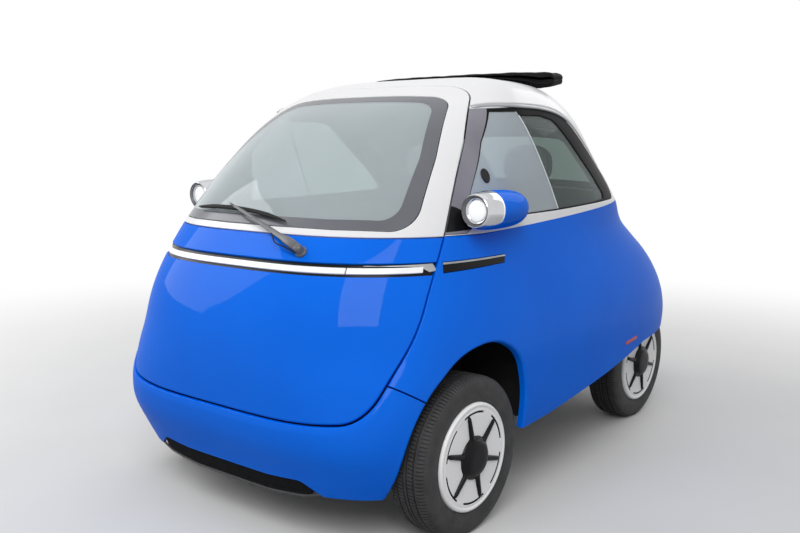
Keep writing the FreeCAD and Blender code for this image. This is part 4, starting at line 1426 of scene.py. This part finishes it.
def star_cap(centre, side):
    """Domed hub cover with six tapered spokes that lie on the disc."""
    pieces = [lathe(outward(DOME, side), centre, 72)]
    up = np.array([side, 0, 0])
    for k in range(SPOKES):
        t = math.radians(60 * k - 16)
        out = np.array([0, math.cos(t), math.sin(t)])
        across = np.array([0, -math.sin(t), math.cos(t)])
        rings = []
        for share in (0, 0.1, 0.3, 0.5, 0.7, 0.88, 0.95, 0.985, 1.0):
            tip = 1.0 if share < 0.9 else math.sqrt(max(0.02, 1 - ((share - 0.88) / 0.12) ** 2))
            rings.append((50 + 100 * share, (10.5 - 3.0 * share) * tip,
                          (10.0 - 3.0 * share) * tip))
        lobe = [(40 + 36 * share, 20 * math.sqrt(1 - 0.72 * share ** 2), 12 - 4 * share)
                for share in (0, 0.5, 0.85, 1.0)]
        pieces += [loft([ring(centre + out * r + up * 73, across, up, wide, high, 2.6, 20)
                         for r, wide, high in part]) for part in (rings, lobe)]
    return merge(*pieces)


def wheels():
    for end, x, y in (("front", FRONT_X, 0.0), ("rear", REAR_X, WHEELBASE)):
        for side_name, side in SIDES:
            name = f"{end}_{side_name}"
            body = "wheel_" + name
            centre = np.array([side * x, y, HUB])
            solid("tread_" + name, tread(centre), "tyre_rubber", body, "tyre",
                  "tyre_" + name, sharp=30)
            walls = [lathe(outward(WALL, s), centre, 120) for s in (1, -1)]
            solid("walls_" + name, merge(*walls), "tyre_rubber", body, "tyre", sharp=30)
            v, f, slots = rim_disc(centre, side)
            # black_plastic here is painted shade in the slits
            disc = add_object("disc_" + name, v, f, ["wheel_white", "black_plastic"], slots)
            disc.data.set_sharp_from_angle(angle=math.radians(50))
            settle(disc, body, "white_wheel", "rim_" + name)
            solid("barrel_" + name, lathe(outward(BARREL, side), centre), "brushed_steel",
                  body, "white_wheel", sharp=35)
            solid("star_" + name, star_cap(centre, side), "black_gloss", body, "black_trim",
                  "cap_" + name, sharp=45)


# ------------------------------------------------------------------ cabin
VOXEL, MAX_SWELL = 0.008, 0.012     # metres
CHANNEL = 7.5           # depth of a sewn channel


def blown_up(ob, cap, pressure=4.0, frames=20):
    """Cloth filled like a cushion; no point moves further than cap, in metres."""
    mesh = ob.data
    before = np.array([v.co for v in mesh.vertices])
    held = ob.vertex_groups.new(name="held")
    held.add([k for k, p in enumerate(before) if p[2] < before[:, 2].min() + 0.012], 1.0,
             "REPLACE")
    cloth = ob.modifiers.new("cloth", "CLOTH")
    cloth.settings.use_pressure = True
    cloth.settings.uniform_pressure_force = pressure
    cloth.settings.vertex_group_mass = "held"
    cloth.settings.effector_weights.gravity = 0.0
    cloth.point_cache.frame_end = frames
    for step in range(1, frames + 1):
        bpy.context.scene.frame_set(step)
    shape = ob.evaluated_get(bpy.context.evaluated_depsgraph_get()).to_mesh()
    after = np.array([v.co for v in shape.vertices])
    ob.modifiers.remove(cloth)
    bpy.context.scene.frame_set(1)
    move = after - before
    far = np.maximum(np.linalg.norm(move, axis=1), 1e-9)[:, None]
    ob.vertex_groups.clear()
    return before + move * np.minimum(1.0, cap / far)


def pad(name, size, turn, seams, cad_node, narrowing=0.0):
    """Seat cushion made flat, blown up, sewn and then turned into its place.

    size is width, depth and thickness; seams are (across, line, start, end) in the pad's
    own plan, and turn takes its points to the car.
    """
    w, d, h = size
    v, f = soft_box((-w / 2, 0, 0), (w / 2, d, h), 2, 22, 9.0, 96, 6)
    v[:, 0] *= 1 - narrowing * smooth_step(v[:, 1], 0.45 * d, d)
    ob = add_object(name, v - (0, FRONT, 0), f, ["seat_cloth"])
    voxel = ob.modifiers.new("voxel", "REMESH")
    voxel.mode = "VOXEL"
    voxel.voxel_size = VOXEL
    voxel.use_smooth_shade = True
    bpy.context.view_layer.update()
    fine = bpy.data.meshes.new_from_object(
        ob.evaluated_get(bpy.context.evaluated_depsgraph_get()))
    ob.modifiers.clear()
    ob.data = fine
    fine.materials.clear()
    fine.materials.append(MATS["seat_cloth"])
    p = blown_up(ob, MAX_SWELL)
    p = p * 1000.0
    top = smooth_step(p[:, 2], h * 0.4, h * 0.8)
    for across, line, start, end in seams:
        along, off = (p[:, 0], p[:, 1] - line) if across else (p[:, 1], p[:, 0] - line)
        reach = smooth_step(along, start - 14, start) * (1 - smooth_step(along, end, end + 14))
        p[:, 2] -= CHANNEL * top * reach * np.exp(-(off / 7.0) ** 2)
    fine.vertices.foreach_set("co", place(turn(p)).ravel())
    fine.update()
    smooth = ob.modifiers.new("smooth", "SUBSURF")
    smooth.levels = smooth.render_levels = 1
    settle(ob, "body", "grey_cloth", cad_node)


def lean_back(p):
    """From the back pad's own plan to its place, leaning 12 degrees."""
    lean = math.radians(12)
    x, up, out = p[:, 0], p[:, 1] + 6, 72 - p[:, 2]
    return np.stack([x, 840 + out * math.cos(lean) + up * math.sin(lean),
                     607 - out * math.sin(lean) + up * math.cos(lean)], 1)


def seats():
    lines = [0, -125, 125, -255, 255, -385, 385]
    pad("seat_cushion_pad", (984, 480, 78), lambda p: p + (0, 436, 502),
        [(False, x, 60, 400) for x in lines] + [(True, 400, -470, 470)], "seat_cushion")
    pad("seat_back_pad", (984, 484, 62), lean_back,
        [(False, x, 40, 380) for x in lines] + [(True, 395, -400, 400)], "seat_back",
        narrowing=0.26)
    for name, side in SIDES:
        puck = soft_box((160, 951, 1086), (370, 1029, 1250), 1, 24, 2.5, 64, 9)
        rest = solid("headrest_" + name, flipped(puck, side), "headrest_shell", "body",
                     "grey_cloth", *(["headrests"] if side > 0 else []), sharp=80,
                     subdivide=1)
        welt = ring((side * 265, 975, 1168), (1, 0, 0), (0, 0, 1), 103.5, 80.5, 2.5, 96)
        solid("headrest_welt_" + name, tube(welt, 2.2, 8, close=True), "dark_trim", "body",
              "grey_cloth")
        posts = [tube([(side * x, 990 - 8, 1050), (side * x, 990, 1100)], 6, 14)
                 for x in (225, 305)]
        solid("headrest_posts_" + name, merge(*posts), "brushed_steel", "body", "grey_metal")


def plain_nodes():
    """Procedural materials for the CAD nodes whose own shape is kept."""
    for mat, names in (("under_paint", "chassis_tub front_axle rear_axle battery_pack"),
                       ("brushed_steel", "knuckle_left knuckle_right"),
                       ("arm_grey", "drive_motor"),
                       ("dark_trim", "steering_column steering_wheel seat_base")):
        for name in names.split():
            ob = frame["nodes"][name]
            ob.data.materials.clear()
            ob.data.materials.append(MATS[mat])


# ------------------------------------------------------------------ floor, light, camera
def seen_straight(tree):
    """1 for rays from the camera or by way of a mirror or glass, and 0 for diffuse light."""
    path = tree.nodes.new("ShaderNodeLightPath")
    result = path.outputs["Is Camera Ray"]
    for name in ("Is Glossy Ray", "Is Transmission Ray"):
        result = math_node(tree, "MAXIMUM", result, path.outputs[name])
    return result


def floor():
    """Pale near the car and white with distance, like a studio sweep; dimmer as bounce light."""
    mesh = bpy.data.meshes.new("floor")
    bm = bmesh.new()
    bmesh.ops.create_grid(bm, x_segments=1, y_segments=1, size=30.0)
    bm.to_mesh(mesh)
    bm.free()
    sheet = bpy.data.objects.new("floor", mesh)
    bpy.context.scene.collection.objects.link(sheet)
    tree = new_mat("pale_floor")
    pale = tones(tree, noise(tree, 1.5), (0.72, 0.72, 0.72), (0.75, 0.75, 0.75))
    near_car = node(tree, "BsdfPrincipled", {"Base Color": pale, "Roughness": 0.75,
                                             "Specular IOR Level": 0.2})
    dim = node(tree, "BsdfDiffuse", {0: (0.36, 0.36, 0.36, 1)})
    bounce = node(tree, "LightPath", give="Is Diffuse Ray")
    near_car = node(tree, "MixShader", {0: bounce, 1: near_car, 2: dim})
    where = node(tree, "TexCoord", give="Object")
    away = node(tree, "VectorMath", {0: where}, give="Value", operation="LENGTH")
    spread = node(tree, "MapRange", {0: away, "From Min": 1.6, "From Max": 5.5},
                  interpolation_type="SMOOTHSTEP")
    fade = math_node(tree, "MULTIPLY", spread, seen_straight(tree))
    white = node(tree, "Emission", {1: 1.0})
    node(tree, "OutputMaterial", {0: node(tree, "MixShader", {0: fade, 1: near_car, 2: white})})
    mesh.materials.append(MATS["pale_floor"])


def world():
    """White where it is seen, and softer where it only lights."""
    studio = bpy.data.worlds.new("studio")
    bpy.context.scene.world = studio
    tree = empty_tree(studio)
    soft, white = (node(tree, "Background", {0: WHITE, 1: light}) for light in (0.45, 1.0))
    node(tree, "OutputWorld", {0: node(tree, "MixShader", {0: seen_straight(tree), 1: soft,
                                                           2: white})})


def lamp(name, where, aim, size, watts):
    light = bpy.data.lights.new(name, "AREA")
    light.shape = "RECTANGLE"
    light.size, light.size_y = size
    light.energy = watts
    ob = bpy.data.objects.new(name, light)
    ob.location = where
    ob.rotation_euler = (Vector(aim) - Vector(where)).to_track_quat("-Z", "Y").to_euler()
    bpy.context.scene.collection.objects.link(ob)


def camera():
    eye = Vector((2.20424, -2.97968, 1.23186))
    yaw, pitch, roll = 0.66505, 0.22894, 0.00632
    ahead = Vector((-math.sin(yaw) * math.cos(pitch), math.cos(yaw) * math.cos(pitch),
                    -math.sin(pitch)))
    right = Vector((math.cos(yaw), math.sin(yaw), 0))
    up = right.cross(ahead)
    r2 = right * math.cos(roll) + up * math.sin(roll)
    u2 = -right * math.sin(roll) + up * math.cos(roll)
    cam = bpy.data.cameras.new("photo_view")
    cam.sensor_width = 36.0
    cam.lens = 39.194
    cam.shift_x = -0.02684
    cam.shift_y = 0.10669
    ob = bpy.data.objects.new("photo_view", cam)
    turn = Matrix((r2, u2, -ahead)).transposed().to_4x4()
    ob.matrix_world = Matrix.Translation(eye) @ turn
    bpy.context.scene.collection.objects.link(ob)
    bpy.context.scene.camera = ob


for build in (front_door, body_sides, front_bumper, rear_bumper, roof, side_windows, tailgate,
              wheels, light_bar, side_trims, reflectors, lamp_pods, wiper, gutters,
              folded_top, seats, plain_nodes, floor, world):
    build()
# name, place, aim, size and watts; metres in the row frame
lamp("key", (3.0, -4.5, 4.5), (0, 0, 0.7), (3.5, 3.5), 200)
lamp("fill", (-4.5, -2.5, 3.2), (0, 0, 0.7), (3.5, 3.5), 112)
lamp("back", (1.0, 5.0, 4.2), (0, 0, 0.7), (4.0, 3.0), 50)
lamp("top", (0, 0, 5.5), (0, 0, 0), (5.0, 5.0), 14)
camera()
bpy.context.scene.view_settings.view_transform = "Standard"
